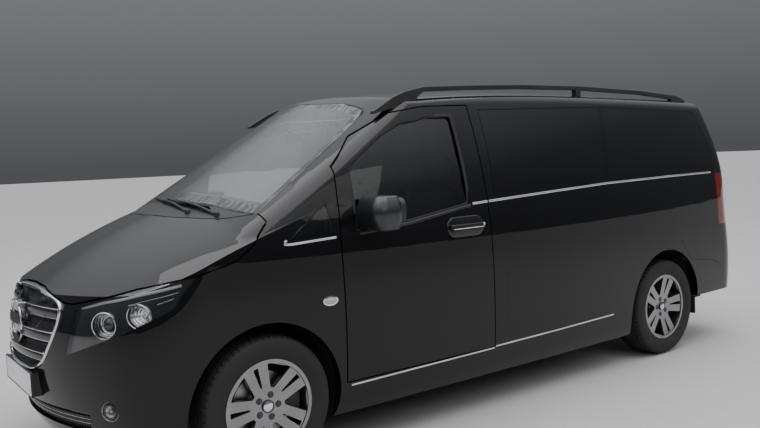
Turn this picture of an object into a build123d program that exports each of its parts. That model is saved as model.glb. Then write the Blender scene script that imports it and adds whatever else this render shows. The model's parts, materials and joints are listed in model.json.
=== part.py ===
from build123d import *
import os
from math import cos, radians, sin

os.makedirs("parts", exist_ok=True)

# Hearse on a long van body. Millimetres, X forward, Y to the vehicle's left, Z up,
# origin on the ground under the middle of the body.

# Overall sizes
length = 5140
wheelbase = 3200
front_overhang = 895
half_width = 964
plate_standoff = 10
nose_x = length / 2 - plate_standoff
tail_x = -length / 2
front_axle_x = length / 2 - front_overhang
rear_axle_x = front_axle_x - wheelbase

# Wall thicknesses and gaps
wall = 50
glass_thickness = 6
glass_recess = 12
shut_gap = 7
lid_inset = 7
glass_overlap = 35
shoulder_radius = 70
roof_radius = 85

# Wheels
tyre_radius = 339.5
tyre_width = 225
front_track = 1666
rear_track = 1646
rim_radius = 228.6
bead_radius = 216
rim_width = 200
lug_circle = 112
lug_count = 5
wheel_offset = 50
spoke_pairs = 5
hub_radius = 34
axle_radius = 20
running_gap = 0.3
disc_radius = 160
kingpin_y = 760
kingpin_radius = 12
front_arch_radius = 402
rear_arch_radius = 410
liner_gap = 6
liner_thickness = 12

# Door, window and panel places
door_front_x = front_axle_x - 440
door_length = 1030
door_rear_x = door_front_x - door_length
sill_z = 368
door_top_z = 1775
floor_z = 330
load_floor_z = 510
floor_thickness = 40
bulkhead_x = 80
roof_seam_y = 690
tailgate_x = tail_x + 335
rear_bumper_z = 550
rear_bumper_foot = 365
cowl_half_width = 800
glass_joint = 3
glass_grip = 10
handle_length = 257
handle_x = door_rear_x + 65
handle_z = 1088
handle_out = 26
handle_height = 30
door_skin_y = 952
door_depth = 660
mirror_x = 1040
mirror_y = 1122
mirror_z = 1213
mirror_width = 238
rail_y = 722
rail_width = 34
grille_ring = 16
grille_depth = 28
badge_z = 766
plinth_half_width = 262
plinth_low = 436
plinth_high = 549
badge_radius = 105


# Body sections from bottom to top, each as
# height, nose set-back, front corner set-back, tuck of front corner, tuck of doors,
# tuck of rear corner, tail set-back, rear corner set-back, front radius, rear radius
LOWER = [
    (200, 120, 430, 92, 59, 84, 70, 130, 330, 150),
    (340, 40, 370, 52, 16, 49, 15, 85, 380, 200),
    (540, 0, 345, 36, 3, 34, 0, 75, 400, 220),
    (780, 18, 355, 32, 0, 34, 12, 90, 400, 220),
    (980, 85, 400, 39, 7, 42, 35, 115, 380, 210),
    (1100, 145, 455, 45, 16, 48, 42, 122, 360, 200),
    (1340, 275, 560, 110, 90, 110, 70, 150, 330, 190),
]
UPPER = [
    (1090, 510, 760, 39, 17, 49, 43, 123, 170, 200),
    (1440, 1075, 1330, 109, 75, 96, 95, 170, 150, 150),
    (1750, 1580, 1840, 202, 162, 179, 200, 270, 130, 120),
    (1960, 1920, 2190, 274, 232, 249, 290, 355, 110, 110),
]
# Crown of the bonnet and of the roof: x, height on the centre line
BONNET_CROWN = [(2700, 790), (2318, 1030), (2000, 1190), (1700, 1303), (1300, 1420), (900, 1500)]
ROOF_CROWN = [(2200, 1690), (1500, 1780), (800, 1862), (-200, 1910), (-1500, 1898), (-2650, 1835)]
bonnet_camber = 242
roof_camber = 151
belt_z = 1100


def outline(row, inset):
    """Plan section of the body at one height, pulled in by an inset."""
    height, nose, front, tuck_f, tuck_m, tuck_r, tail, rear, radius_f, radius_r = row
    nose_p = nose_x - nose - inset
    front_p = nose_x - front - inset
    tail_p = tail_x + tail + inset
    rear_p = tail_x + rear + inset
    wide_f = half_width - tuck_f - inset
    wide_m = half_width - tuck_m - inset
    wide_r = half_width - tuck_r - inset
    with BuildSketch(Plane.XY.offset(height)) as made:
        with BuildLine():
            ThreePointArc((front_p, -wide_f), (nose_p, 0), (front_p, wide_f))
            ThreePointArc((front_p, wide_f), (-300, wide_m), (rear_p, wide_r))
            ThreePointArc((rear_p, wide_r), (tail_p, 0), (rear_p, -wide_r))
            ThreePointArc((rear_p, -wide_r), (-300, -wide_m), (front_p, -wide_f))
        make_face()
        fillet(made.vertices().filter_by(lambda v: v.X > 0), radius_f)
        fillet(made.vertices().filter_by(lambda v: v.X < rear_p + 1), radius_r)
    return made.sketch


def stack(rows, inset):
    """Loft through plan sections."""
    with BuildPart() as made:
        for row in rows:
            add(outline(row, inset))
        loft()
    return made.part


def crown(rows, camber, inset):
    """Solid under a crowned top, a loft of upright sections along X."""
    with BuildPart() as made:
        for x, z in rows:
            with BuildSketch(Plane((x, 0, 0), x_dir=(0, 1, 0), z_dir=(1, 0, 0))):
                with BuildLine():
                    top = z - inset
                    ThreePointArc((-1100, top - camber), (0, top), (1100, top - camber))
                    Polyline((1100, top - camber), (1100, -400), (-1100, -400), (-1100, top - camber))
                make_face()
        loft()
    return made.part


def form(inset, rounded):
    """Closed body shape, pulled in by an inset: bonnet and wings, sides, and greenhouse."""
    low = list(LOWER)
    if inset > 0:
        low[0] = (low[0][0] - 150,) + low[0][1:]
    below = stack(low, inset)
    with BuildPart() as front:
        add(below)
        add(crown(BONNET_CROWN, bonnet_camber, inset), mode=Mode.INTERSECT)
        if rounded:
            fillet(front.faces().sort_by(Axis.Z)[-1].edges(), shoulder_radius)
        with Locations((950, 0, 700)):
            Box(300, 2400, 1600, mode=Mode.SUBTRACT)
    with BuildPart() as top:
        add(stack(UPPER, inset))
        add(crown(ROOF_CROWN, roof_camber, inset), mode=Mode.INTERSECT)
        if rounded:
            fillet(top.faces().sort_by(Axis.Z)[-1].edges(), roof_radius)
    with BuildPart() as made:
        add(below)
        with Locations((1100 + 1000, 0, 700)):
            Box(2000, 2400, 1600, mode=Mode.SUBTRACT)
        with Locations((0, 0, belt_z + 500)):
            Box(6000, 2400, 1000, mode=Mode.SUBTRACT)
        add(front.part)
        add(top.part)
    return made.part


def side(points, grow=0, y_from=1300, depth=2600):
    """Prism across the vehicle over a side-view outline (x, z)."""
    with BuildPart() as made:
        with BuildSketch(Plane((0, y_from, 0), x_dir=(1, 0, 0), z_dir=(0, -1, 0))):
            with BuildLine():
                Polyline(*points, close=True)
            make_face()
            if grow:
                offset(amount=grow, kind=Kind.INTERSECTION)
        extrude(amount=depth)
    return made.part


def front_view(points, x_from, depth, grow=0):
    """Prism along the vehicle over a front-view outline (y, z)."""
    with BuildPart() as made:
        with BuildSketch(Plane((x_from, 0, 0), x_dir=(0, 1, 0), z_dir=(1, 0, 0))):
            with BuildLine():
                Polyline(*points, close=True)
            make_face()
            if grow:
                offset(amount=grow, kind=Kind.INTERSECTION)
        extrude(amount=depth)
    return made.part


def plan(points, z_from, height, grow=0):
    """Upright prism over a plan outline (x, y)."""
    with BuildPart() as made:
        with BuildSketch(Plane.XY.offset(z_from)):
            with BuildLine():
                Polyline(*points, close=True)
            make_face()
            if grow:
                offset(amount=grow, kind=Kind.INTERSECTION)
        extrude(amount=height)
    return made.part


def common(first, *others):
    """What several solids share."""
    with BuildPart() as made:
        add(first)
        for other in others:
            add(other, mode=Mode.INTERSECT)
    return made.part


def less(first, *others):
    """A solid with others taken away."""
    with BuildPart() as made:
        add(first)
        add(others, mode=Mode.SUBTRACT)
    return made.part


def block(x_low, x_high, y_low, y_high, z_low, z_high):
    """Box between limits."""
    with BuildPart() as made:
        with Locations(((x_low + x_high) / 2, (y_low + y_high) / 2, (z_low + z_high) / 2)):
            Box(x_high - x_low, y_high - y_low, z_high - z_low)
    return made.part


def axle_bar(x, z, radius, y_low, y_high):
    """Cylinder across the vehicle."""
    with BuildPart() as made:
        with Locations(Location((x, (y_low + y_high) / 2, z), (90, 0, 0))):
            Cylinder(radius, y_high - y_low)
    return made.part


def other_side(solid):
    """Mirror image across the middle of the vehicle."""
    return mirror(solid, about=Plane.XZ)


# Side-view outlines (x, z), door and panel shut lines
DOOR_LINE = [
    (door_front_x, sill_z), (door_front_x, 1110), (door_front_x - 31, 1455), (door_front_x - 228, 1612),
    (door_front_x - 472, 1733), (door_front_x - 701, 1768), (door_rear_x, door_top_z), (door_rear_x, sill_z),
]
DOOR_GLASS = [
    (door_front_x - 100, 1122), (door_front_x - 121, 1452), (door_front_x - 358, 1606),
    (door_front_x - 515, 1674), (door_front_x - 701, 1708), (door_rear_x + 142, 1716),
    (door_rear_x + 142, 1208), (door_front_x - 444, 1145),
]
BONNET_SIDE = [
    (front_axle_x - 66, 1211), (front_axle_x - 29, 1178), (front_axle_x + 52, 1101),
    (front_axle_x + 112, 1059), (front_axle_x + 158, 1039), (front_axle_x + 242, 1022),
]
LAMP_TOP = [(2005, 1000), (2215, 962), (2345, 922), (2420, 890)]
BUMPER_SIDE = [(2112, 871), (2043, 765), (1933, 713), (1870, 692)]
BONNET_LINE = [(front_axle_x - 66, 1500)] + BONNET_SIDE + LAMP_TOP + [(2750, 890), (2750, 1500)]
WING_LINE = (
    [(door_front_x, sill_z), (door_front_x, 1098), (1561, 1098)] + BONNET_SIDE + LAMP_TOP[:2]
    + BUMPER_SIDE + [(1800, 690), (1800, 250), (1300, 250), (1300, sill_z)]
)
BUMPER_LINE = [(2750, 150), (2750, 890)] + LAMP_TOP[:0:-1] + BUMPER_SIDE + [(1800, 690), (1800, 150)]
BODY_SIDE_LINE = [
    (1300, 150), (1300, sill_z), (door_front_x, sill_z), (door_front_x, 1098), (1561, 1098),
    BONNET_SIDE[0], (1740, 1300), (900, 2100), (-2700, 2100), (-2700, 150),
]
REAR_BUMPER_LINE = [
    (-1760, 365), (-1760, 657), (-1833, 643), (-1992, 625), (-2157, 602), (-2258, rear_bumper_z),
    (-2700, rear_bumper_z), (-2700, 365),
]
QUARTER_GLASS = [(1280, 1114), (1290, 1288), (1540, 1106)]
SIDE_GLASS = [
    [(door_rear_x - 79, 1748), (-982, 1767), (-890, 1257), (door_rear_x - 64, 1245)],
    [(-1002, 1768), (-2121, 1735), (-2178, 1600), (-2238, 1434), (-2222, 1276), (-910, 1258)],
]
SLIDING_DOOR_LINE = [
    (door_rear_x - 12, sill_z), (door_rear_x - 12, door_top_z), (-992, 1781), (-900, 1258), (-900, sill_z),
]
TAIL_LAMP_LINE = [(-2236, 873), (-2236, 1262), (-2700, 1262), (-2700, 873)]

# Front-view outlines (y, z)
WINDSCREEN_LINE = [
    (-785, 1240), (-400, 1286), (0, 1306), (400, 1286), (785, 1240), (730, 1440), (660, 1640), (600, 1762),
    (400, 1812), (0, 1838), (-400, 1812), (-600, 1762), (-660, 1640), (-730, 1440),
]
GRILLE_LINE = [
    (-212, 552), (212, 552), (330, 600), (420, 740), (455, 886), (330, 916), (160, 937), (0, 943),
    (-160, 937), (-330, 916), (-455, 886), (-420, 740), (-330, 600),
]
TAILGATE_LINE = [
    (-775, rear_bumper_z), (775, rear_bumper_z), (775, 1260), (720, 1560), (640, 1790), (640, 2100),
    (-640, 2100), (-640, 1790), (-720, 1560), (-775, 1260),
]
# The lid is narrower than its opening near the top, so that it clears the body sides as it swings up
TAILGATE_LID = [
    (-775, rear_bumper_z), (775, rear_bumper_z), (775, 1260), (720 - lid_inset, 1560), (640 - lid_inset, 1790),
    (640 - lid_inset, 2100), (lid_inset - 640, 2100), (lid_inset - 640, 1790), (lid_inset - 720, 1560),
    (-775, 1260),
]
TAILGATE_GLASS = [(-640, 1190), (640, 1190), (600, 1500), (540, 1700), (-540, 1700), (-600, 1500)]
# Headlamp outline square to its own face: along the face, height
LAMP_LINE = [
    (-325, 660), (27, 780), (222, 869), (302, 1000), (75, 960), (-129, 914), (-264, 866),
]
lamp_turn = 40
lamp_core = 25
# Bowls of the headlamp: centre, radius
LAMP_BOWLS = [((2340, 698, 806), 60), ((2228, 822, 846), 55)]
projector_at = (2310, 694, 806)
projector_radius = 34
fog_lamp_at = (2351, 714, 423)
fog_lamp_turn = 36
fog_lamp_radius = 46

BONNET_REAR = [
    (2750, -1200), (2750, 1200), (1620, 1200), (1609, 787), (1634, 752), (1702, 652), (1781, 500),
    (1831, 370), (1863, 250), (1885, 0), (1863, -250), (1831, -370), (1781, -500), (1702, -652),
    (1634, -752), (1609, -787), (1620, -1200),
]
INTAKE = [(-560, 300), (560, 300), (600, 400), (-600, 400)]
# Grille pockets between the bars: low edge, high edge
GRILLE_GAPS = [(568, 612), (656, 706), (758, 812), (866, 928)]
RAIL_TOP = [
    (849, 1743), (708, 1820), (628, 1851), (489, 1879), (131, 1894), (-298, 1906), (-878, 1908),
    (-1546, 1888), (-1998, 1857), (-2110, 1825),
]
# Under the rail: rear foot, middle post, front foot
RAIL_LOW = [
    (-2110, 1740), (-1960, 1740), (-1935, 1836), (-1546, 1864), (-886, 1884), (-880, 1740), (-840, 1740),
    (-834, 1884), (-298, 1882), (131, 1870), (489, 1855), (530, 1830), (560, 1790), (708, 1762), (849, 1728),
]
# Mirror housing sections: height from its middle, depth, width, shift back and in, corner
MIRROR = [(-86, 130, 205, 10, 40), (0, 180, 238, 0, 60), (86, 120, 200, 12, 40)]


def lamp_prism(reach, grow=0):
    """Prism over the left headlamp's outline, square to the lamp's face."""
    face = (cos(radians(lamp_turn)), sin(radians(lamp_turn)), 0)
    along = (-sin(radians(lamp_turn)), cos(radians(lamp_turn)), 0)
    start = (2200 - reach * face[0], 700 - reach * face[1], 0)
    with BuildPart() as made:
        with BuildSketch(Plane(start, x_dir=along, z_dir=face)):
            with BuildLine():
                Polyline(*LAMP_LINE, close=True)
            make_face()
            if grow:
                offset(amount=grow, kind=Kind.INTERSECTION)
        extrude(amount=reach + 500)
    return made.part


# The skin is what lies between the outer form and the inner one
outer = form(0, True)
glass_back = form(glass_thickness, True)
inner = form(wall, False)
skin = less(outer, inner)
skin_left = common(skin, block(tail_x - 50, nose_x + 50, 0, 1300, 0, 2200))
print("forms made")

front_arches = axle_bar(front_axle_x, tyre_radius, front_arch_radius, -1300, 1300)
rear_arches = axle_bar(rear_axle_x, tyre_radius, rear_arch_radius, -1300, 1300)
lamp_left_zone = lamp_prism(150)
lamp_right_zone = other_side(lamp_left_zone)
grille_hole = front_view(GRILLE_LINE, 2200, 500)
screen_rim = front_view(WINDSCREEN_LINE, 500, 1400, grow=-glass_overlap)
screen_seat = less(front_view(WINDSCREEN_LINE, 500, 1400), glass_back)
cowl_zone = block(1400, 1900, -cowl_half_width, cowl_half_width, 1050, 1450)
bonnet_plan = plan(BONNET_REAR, 500, 1000)
bonnet_edge = bonnet_plan.moved(Location((-shut_gap / 2, 0, 0)))
roof_zone = block(tailgate_x + shut_gap / 2, 1000, -roof_seam_y, roof_seam_y, 1600, 2100)
tail_depth = tailgate_x - tail_x + 100
tailgate_zone = front_view(TAILGATE_LID, tail_x - 100, tail_depth - shut_gap / 2, grow=-shut_gap / 2)
tailgate_hole = front_view(TAILGATE_LINE, tail_x - 100, tail_depth + shut_gap / 2, grow=shut_gap / 2)
rear_bumper_zone = side(REAR_BUMPER_LINE)
window_cuts = [
    cut
    for pane in SIDE_GLASS
    for cut in (side(pane, grow=-glass_overlap, y_from=1300, depth=900),
                less(side(pane, y_from=1300, depth=900), glass_back))
]
door_clear = side(DOOR_LINE, grow=shut_gap / 2, y_from=1300, depth=door_depth + shut_gap)
quarter_cuts = [
    side(QUARTER_GLASS, grow=-16, y_from=1300, depth=900),
    less(side(QUARTER_GLASS, y_from=1300, depth=900), glass_back),
]

# Bonnet
with BuildPart() as bonnet:
    add(skin)
    add(side(BONNET_LINE, grow=-shut_gap / 2), mode=Mode.INTERSECT)
    add(bonnet_plan.moved(Location((shut_gap / 2, 0, 0))), mode=Mode.INTERSECT)
    add([front_view(GRILLE_LINE, 2200, 500, grow=shut_gap), lamp_prism(150, grow=shut_gap),
         other_side(lamp_prism(150, grow=shut_gap))], mode=Mode.SUBTRACT)

# Front wings
with BuildPart() as wing_left:
    add(skin_left)
    add(side(WING_LINE, y_from=1300, depth=900), mode=Mode.INTERSECT)
    add([side(BONNET_LINE, grow=shut_gap / 2), side(DOOR_LINE, grow=shut_gap / 2), lamp_left_zone,
         front_arches], mode=Mode.SUBTRACT)

# Front bumper with its grille, lamp and intake openings and the fog lamp pockets
fog_axis = (cos(radians(fog_lamp_turn)), sin(radians(fog_lamp_turn)), 0)
with BuildPart() as fog_pocket:
    with Locations(Plane(fog_lamp_at, z_dir=fog_axis).location):
        Cylinder(fog_lamp_radius, 56)
fog_lamp = fog_pocket.part
with BuildPart() as front_bumper:
    add(skin)
    add(side(BUMPER_LINE), mode=Mode.INTERSECT)
    add([side(BONNET_LINE, grow=shut_gap / 2), lamp_left_zone, lamp_right_zone, grille_hole, front_arches,
         front_view(INTAKE, 2200, 500), fog_lamp, other_side(fog_lamp)], mode=Mode.SUBTRACT)
    add(less(block(nose_x - 60, length / 2, -plinth_half_width, plinth_half_width, plinth_low, plinth_high),
             inner))

# Body sides: A-pillar, sill, B-pillar and rear quarter in one, as pressed
side_cuts = [
    side(DOOR_LINE, grow=shut_gap / 2), bonnet_edge, cowl_zone, roof_zone, tailgate_hole, rear_bumper_zone,
    front_arches, rear_arches, side(TAIL_LAMP_LINE, y_from=1300, depth=600), screen_seat, screen_rim,
    *window_cuts, *quarter_cuts, block(tail_x, rear_axle_x, 0, 1000, 150, rear_bumper_foot),
]
with BuildPart() as body_side_left:
    add(skin_left)
    add(side(BODY_SIDE_LINE, y_from=1300, depth=1300), mode=Mode.INTERSECT)
    add(side_cuts, mode=Mode.SUBTRACT)
open_side = less(body_side_left.part, side(SLIDING_DOOR_LINE, grow=shut_gap / 2, y_from=1300, depth=900))
with BuildPart() as sliding_panel:
    add(skin_left)
    add(side(SLIDING_DOOR_LINE, y_from=1300, depth=900), mode=Mode.INTERSECT)
    add(window_cuts[:2], mode=Mode.SUBTRACT)

# Roof skin between the rails
with BuildPart() as roof_panel:
    add(skin)
    add(roof_zone, mode=Mode.INTERSECT)
    add([screen_seat, screen_rim, door_clear, other_side(door_clear)], mode=Mode.SUBTRACT)

# Cowl between bonnet and windscreen
with BuildPart() as cowl:
    add(skin)
    add(cowl_zone, mode=Mode.INTERSECT)
    add([bonnet_edge, screen_seat, screen_rim, side(WING_LINE)], mode=Mode.SUBTRACT)

# Windscreen and bonded side glass
glass_sheet = less(outer, glass_back)
glass_left = common(glass_sheet, block(tail_x, 1700, 500, 1300, 1000, 1900))
with BuildPart() as windscreen:
    add(glass_sheet)
    add(front_view(WINDSCREEN_LINE, 500, 1400, grow=-glass_joint), mode=Mode.INTERSECT)
with BuildPart() as side_glass_left:
    for pane in SIDE_GLASS:
        add(common(glass_left, side(pane, grow=-glass_joint, y_from=1300, depth=900)))
with BuildPart() as quarter_glass:
    add(common(glass_left, side(QUARTER_GLASS, grow=-glass_joint, y_from=1300, depth=900)))
    add(other_side(common(glass_left, side(QUARTER_GLASS, grow=-glass_joint, y_from=1300, depth=900))))

# Front doors, each with its framed glass and handle
upper_left = common(outer, block(0, 1400, 500, 1300, 1050, 1800))
with BuildPart() as door_glass_left:
    add(upper_left.moved(Location((0, -glass_recess, 0))))
    add(side(DOOR_GLASS, grow=glass_grip, y_from=1300, depth=900), mode=Mode.INTERSECT)
    add(upper_left.moved(Location((0, -glass_recess - glass_thickness, 0))), mode=Mode.SUBTRACT)
with BuildPart() as handle:
    with Locations((handle_x + handle_length / 2, door_skin_y, handle_z)):
        Box(handle_length, 2 * handle_out, handle_height)
    fillet(handle.edges().filter_by(Axis.X).group_by(Axis.Y)[-1], 10)
    fillet(handle.edges().filter_by(Axis.Y), 12)
with BuildPart() as door_left:
    add(skin_left)
    add(side(DOOR_LINE, grow=-shut_gap / 2, y_from=1300, depth=door_depth), mode=Mode.INTERSECT)
    add([side(DOOR_GLASS, y_from=1300, depth=900), door_glass_left.part], mode=Mode.SUBTRACT)
    add(handle.part)

# Door mirrors
with BuildPart() as mirror_left:
    for height, depth, width, back, corner in MIRROR:
        with BuildSketch(Plane.XY.offset(mirror_z + height)):
            with Locations((mirror_x - back, mirror_y - mirror_width / 2 - back)):
                RectangleRounded(depth, width, corner)
    loft()
    fillet(mirror_left.faces().sort_by(Axis.Z)[-1].edges(), 14)
    fillet(mirror_left.faces().sort_by(Axis.Z)[0].edges(), 14)
    with Locations((mirror_x + 36, 950, mirror_z - 62)):
        Box(60, 90, 40)
    add(door_left.part, mode=Mode.SUBTRACT)
    with Locations((mirror_x, 895, mirror_z)):
        Box(300, 60, 300, mode=Mode.SUBTRACT)

# Tailgate, its glass, tail lamps and rear bumper
with BuildPart() as tailgate:
    add(skin)
    add(tailgate_zone, mode=Mode.INTERSECT)
    add([front_view(TAILGATE_GLASS, tail_x - 100, 600, grow=-glass_overlap),
         less(front_view(TAILGATE_GLASS, tail_x - 100, 600), glass_back)], mode=Mode.SUBTRACT)
with BuildPart() as tailgate_glass:
    add(glass_sheet)
    add(front_view(TAILGATE_GLASS, tail_x - 100, 600, grow=-glass_joint), mode=Mode.INTERSECT)
with BuildPart() as tail_lamp_left:
    add(skin_left)
    add(side(TAIL_LAMP_LINE, y_from=1300, depth=600), mode=Mode.INTERSECT)
    add(tailgate_hole, mode=Mode.SUBTRACT)
with BuildPart() as rear_bumper:
    add(skin)
    add(rear_bumper_zone, mode=Mode.INTERSECT)
    add([tailgate_hole, rear_arches], mode=Mode.SUBTRACT)

# Headlamps: clear lens, and a housing with projector and reflector bowls behind it
with BuildPart() as headlamp_lens:
    add(glass_sheet)
    add(lamp_left_zone, mode=Mode.INTERSECT)
with BuildPart() as headlamp_left:
    add(glass_back.moved(Location((-10, -8, 0))))
    add(lamp_left_zone, mode=Mode.INTERSECT)
    add(less(inner, lamp_prism(-lamp_core)), mode=Mode.SUBTRACT)
    for centre, radius in LAMP_BOWLS:
        with Locations(centre):
            Sphere(radius, mode=Mode.SUBTRACT)
    with Locations(projector_at):
        Sphere(projector_radius)

# Grille: ring and bars round a blank disc, with a mesh back behind the bars
with BuildPart() as grille:
    add(skin)
    add(grille_hole, mode=Mode.INTERSECT)
    pockets = [
        common(front_view(GRILLE_LINE, 2200, 500, grow=-grille_ring),
               block(2200, 2700, -500, 500, low, high))
        for low, high in GRILLE_GAPS
    ]
    add([less(pocket, glass_back.moved(Location((-grille_depth, 0, 0)))) for pocket in pockets],
        mode=Mode.SUBTRACT)
with BuildPart() as badge:
    with Locations(Location((nose_x - 14, 0, badge_z), (0, 90, 0))):
        Cylinder(badge_radius, 24)
    fillet(badge.edges().group_by(Axis.X)[-1], 8)
with BuildPart() as grille_whole:
    add(grille.part)
    add(badge.part)

# Roof rails over the seams
with BuildPart() as roof_rail:
    add(side(RAIL_TOP + RAIL_LOW, y_from=rail_y + rail_width / 2, depth=rail_width))
    add(outer, mode=Mode.SUBTRACT)
with BuildPart() as roof_rails:
    add(roof_rail.part)
    add(other_side(roof_rail.part))
print("skin made")

# Floor with front and rear wheel housings and firewall, and frame rails under it
firewall_x = front_axle_x - 195
liner_radius = front_arch_radius + liner_gap
housing_y = 520
rear_housing_y = 600
step_x = 20
cavity = common(inner, block(tail_x, nose_x, -1300, 1300, 180, 1300))
front_ring = less(
    axle_bar(front_axle_x, tyre_radius, liner_radius + liner_thickness, -1300, 1300),
    axle_bar(front_axle_x, tyre_radius, liner_radius, -1400, 1400),
    block(front_axle_x - 600, front_axle_x + 600, -housing_y, housing_y, 0, 900),
    block(front_axle_x - 600, front_axle_x + 600, -1300, 1300, 0, 260),
)
rear_drum = axle_bar(rear_axle_x, tyre_radius, rear_arch_radius + liner_gap + liner_thickness, -1300, 1300)
rear_ring = less(
    rear_drum,
    axle_bar(rear_axle_x, tyre_radius, rear_arch_radius + liner_gap, rear_housing_y, 1400),
    axle_bar(rear_axle_x, tyre_radius, rear_arch_radius + liner_gap, -1400, -rear_housing_y),
    block(rear_axle_x - 600, rear_axle_x + 600, -rear_housing_y + liner_thickness,
          rear_housing_y - liner_thickness, 0, 900),
    block(rear_axle_x - 600, rear_axle_x + 600, -1300, 1300, 0, 300),
)
floor_low = floor_z - floor_thickness
load_low = load_floor_z - floor_thickness
rear_well = less(rear_drum, block(rear_axle_x - 600, rear_axle_x + 600, -rear_housing_y + liner_thickness,
                                  rear_housing_y - liner_thickness, 0, 900))
with BuildPart() as floor_pan:
    add(block(step_x, front_axle_x - liner_radius - liner_thickness, -1300, 1300, floor_low, floor_z))
    add(block(step_x, firewall_x, -housing_y, housing_y, floor_low, floor_z))
    add(block(step_x - floor_thickness, step_x, -1300, 1300, floor_low, load_floor_z))
    add(block(tail_x + wall + 20, step_x, -1300, 1300, load_low, load_floor_z))
    add(cavity, mode=Mode.INTERSECT)
    add(rear_well, mode=Mode.SUBTRACT)

# Firewall with the front wheel housings, and the rear wheel housings
with BuildPart() as firewall:
    add(block(firewall_x, firewall_x + 30, -housing_y, housing_y, floor_low, 780))
    add(block(firewall_x, firewall_x + 30, -1300, 1300, 762, 1150))
    add(front_ring)
    add(cavity, mode=Mode.INTERSECT)
with BuildPart() as rear_housings:
    add(rear_ring)
    add(cavity, mode=Mode.INTERSECT)
    add(axle_bar(rear_axle_x, tyre_radius, 70, -1300, 1300), mode=Mode.SUBTRACT)

# Frame rails under the floor
with BuildPart() as frame_rails:
    for y in (-460, 460):
        add(block(step_x - 100, firewall_x + 30, y - 40, y + 40, floor_low - 75, floor_low))
        add(block(tail_x + wall + 60, step_x - floor_thickness, y - 40, y + 40, load_low - 80, load_low))
        add(block(step_x - 100, step_x - floor_thickness, y - 40, y + 40, floor_low - 75, load_low))
    add(axle_bar(rear_axle_x, tyre_radius, 70, -1300, 1300), mode=Mode.SUBTRACT)

# Front frame: rails, bumper beam, radiator panel and lamp brackets
rail_low = 420
rail_high = 520
with BuildPart() as front_frame:
    for y in (-460, 460):
        add(block(firewall_x + 30, 2340, y - 40, y + 40, rail_low, rail_high))
        add(block(firewall_x + 30, firewall_x + 80, y - 40, y + 40, floor_low - 75, rail_low))
    add(common(inner, block(2330, nose_x, -700, 700, rail_low, rail_high)))
    add(common(inner, block(2280, 2320, -580, 580, rail_low, 800)))
    add(block(2200, 2400, -340, 340, rail_high, 800), mode=Mode.SUBTRACT)
    add(common(inner, block(2280, 2320, -580, 580, 800, 840)))

# Engine with its bearers
with BuildPart() as engine:
    with Locations((1860, 0, 640)):
        Box(560, 560, 460)
    fillet(engine.edges().filter_by(Axis.X), 60)
    fillet(engine.faces().sort_by(Axis.Z)[-1].edges(), 25)
    for y in (-350, 350):
        with Locations((1860, y, rail_low + 50)):
            Box(120, 140, 60)

# Wheel parts, made about the wheel centre with the outer face towards +Y
rim_half = rim_width / 2
with BuildPart() as rim_ring:
    with BuildSketch(Plane.YZ):
        with BuildLine():
            Polyline(
                (-rim_half, rim_radius), (-rim_half + 6, rim_radius), (-rim_half + 9, bead_radius),
                (rim_half - 9, bead_radius), (rim_half - 6, rim_radius), (rim_half, rim_radius),
                (rim_half, bead_radius - 6), (rim_half - 14, bead_radius - 9),
                (wheel_offset + 10, bead_radius - 11), (-rim_half + 12, bead_radius - 9),
                (-rim_half, bead_radius - 4), close=True,
            )
        make_face()
    revolve(axis=Axis.Y)
# Spoke disc section: half, from the hub out, front face then back face
with BuildPart() as spoke_disc:
    with BuildSketch(Plane.YZ):
        with BuildLine():
            Line((wheel_offset, 0), (wheel_offset + 26, 0))
            Line((wheel_offset + 26, 0), (wheel_offset + 26, 62))
            ThreePointArc((wheel_offset + 26, 62), (wheel_offset + 34, 140), (rim_half - 6, bead_radius - 8))
            Line((rim_half - 6, bead_radius - 8), (rim_half - 34, bead_radius - 8))
            ThreePointArc((rim_half - 34, bead_radius - 8), (wheel_offset + 2, 140), (wheel_offset, 84))
            Line((wheel_offset, 84), (wheel_offset, 0))
        make_face()
    revolve(axis=Axis.Y)
pitch = 360 / spoke_pairs
# Slot between twin spokes and window between pairs: radius, half width
SLOT = [(96, 4), (202, 13)]
WINDOW = [(92, 9), (120, 24), (203, 68)]
slot = side([(96, -4), (202, -13), (202, 13), (96, 4)], y_from=rim_half + 20, depth=rim_half)
window = side([(90, -9), (122, -26), (203, -66), (203, 66), (122, 26), (90, 9)], y_from=rim_half + 20,
              depth=rim_half)
window = fillet(window.edges().filter_by(Axis.Y), 6)
lug_hole = axle_bar(lug_circle / 2, 0, 8, 0, 200)
with BuildPart() as rim:
    add(rim_ring.part)
    add(spoke_disc.part)
    add([slot.rotate(Axis.Y, pitch * k) for k in range(spoke_pairs)]
        + [window.rotate(Axis.Y, pitch * (k + 0.5)) for k in range(spoke_pairs)], mode=Mode.SUBTRACT)
    add([lug_hole.rotate(Axis.Y, 360 / lug_count * (k + 0.5)) for k in range(lug_count)], mode=Mode.SUBTRACT)
    add(axle_bar(0, 0, 28, wheel_offset + 24, wheel_offset + 30))

with BuildPart() as tyre:
    with BuildSketch(Plane.YZ):
        with BuildLine():
            Line((-rim_half + 9, bead_radius), (rim_half - 9, bead_radius))
            Line((rim_half - 9, bead_radius), (rim_half - 6, rim_radius))
            Polyline((rim_half - 6, rim_radius), (tyre_width / 2, 275), (tyre_width / 2 - 12, 325),
                     (tyre_width / 2 - 32, tyre_radius), (32 - tyre_width / 2, tyre_radius),
                     (12 - tyre_width / 2, 325), (-tyre_width / 2, 275), (-rim_half + 6, rim_radius))
            Line((-rim_half + 6, rim_radius), (-rim_half + 9, bead_radius))
        make_face()
    revolve(axis=Axis.Y)

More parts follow.
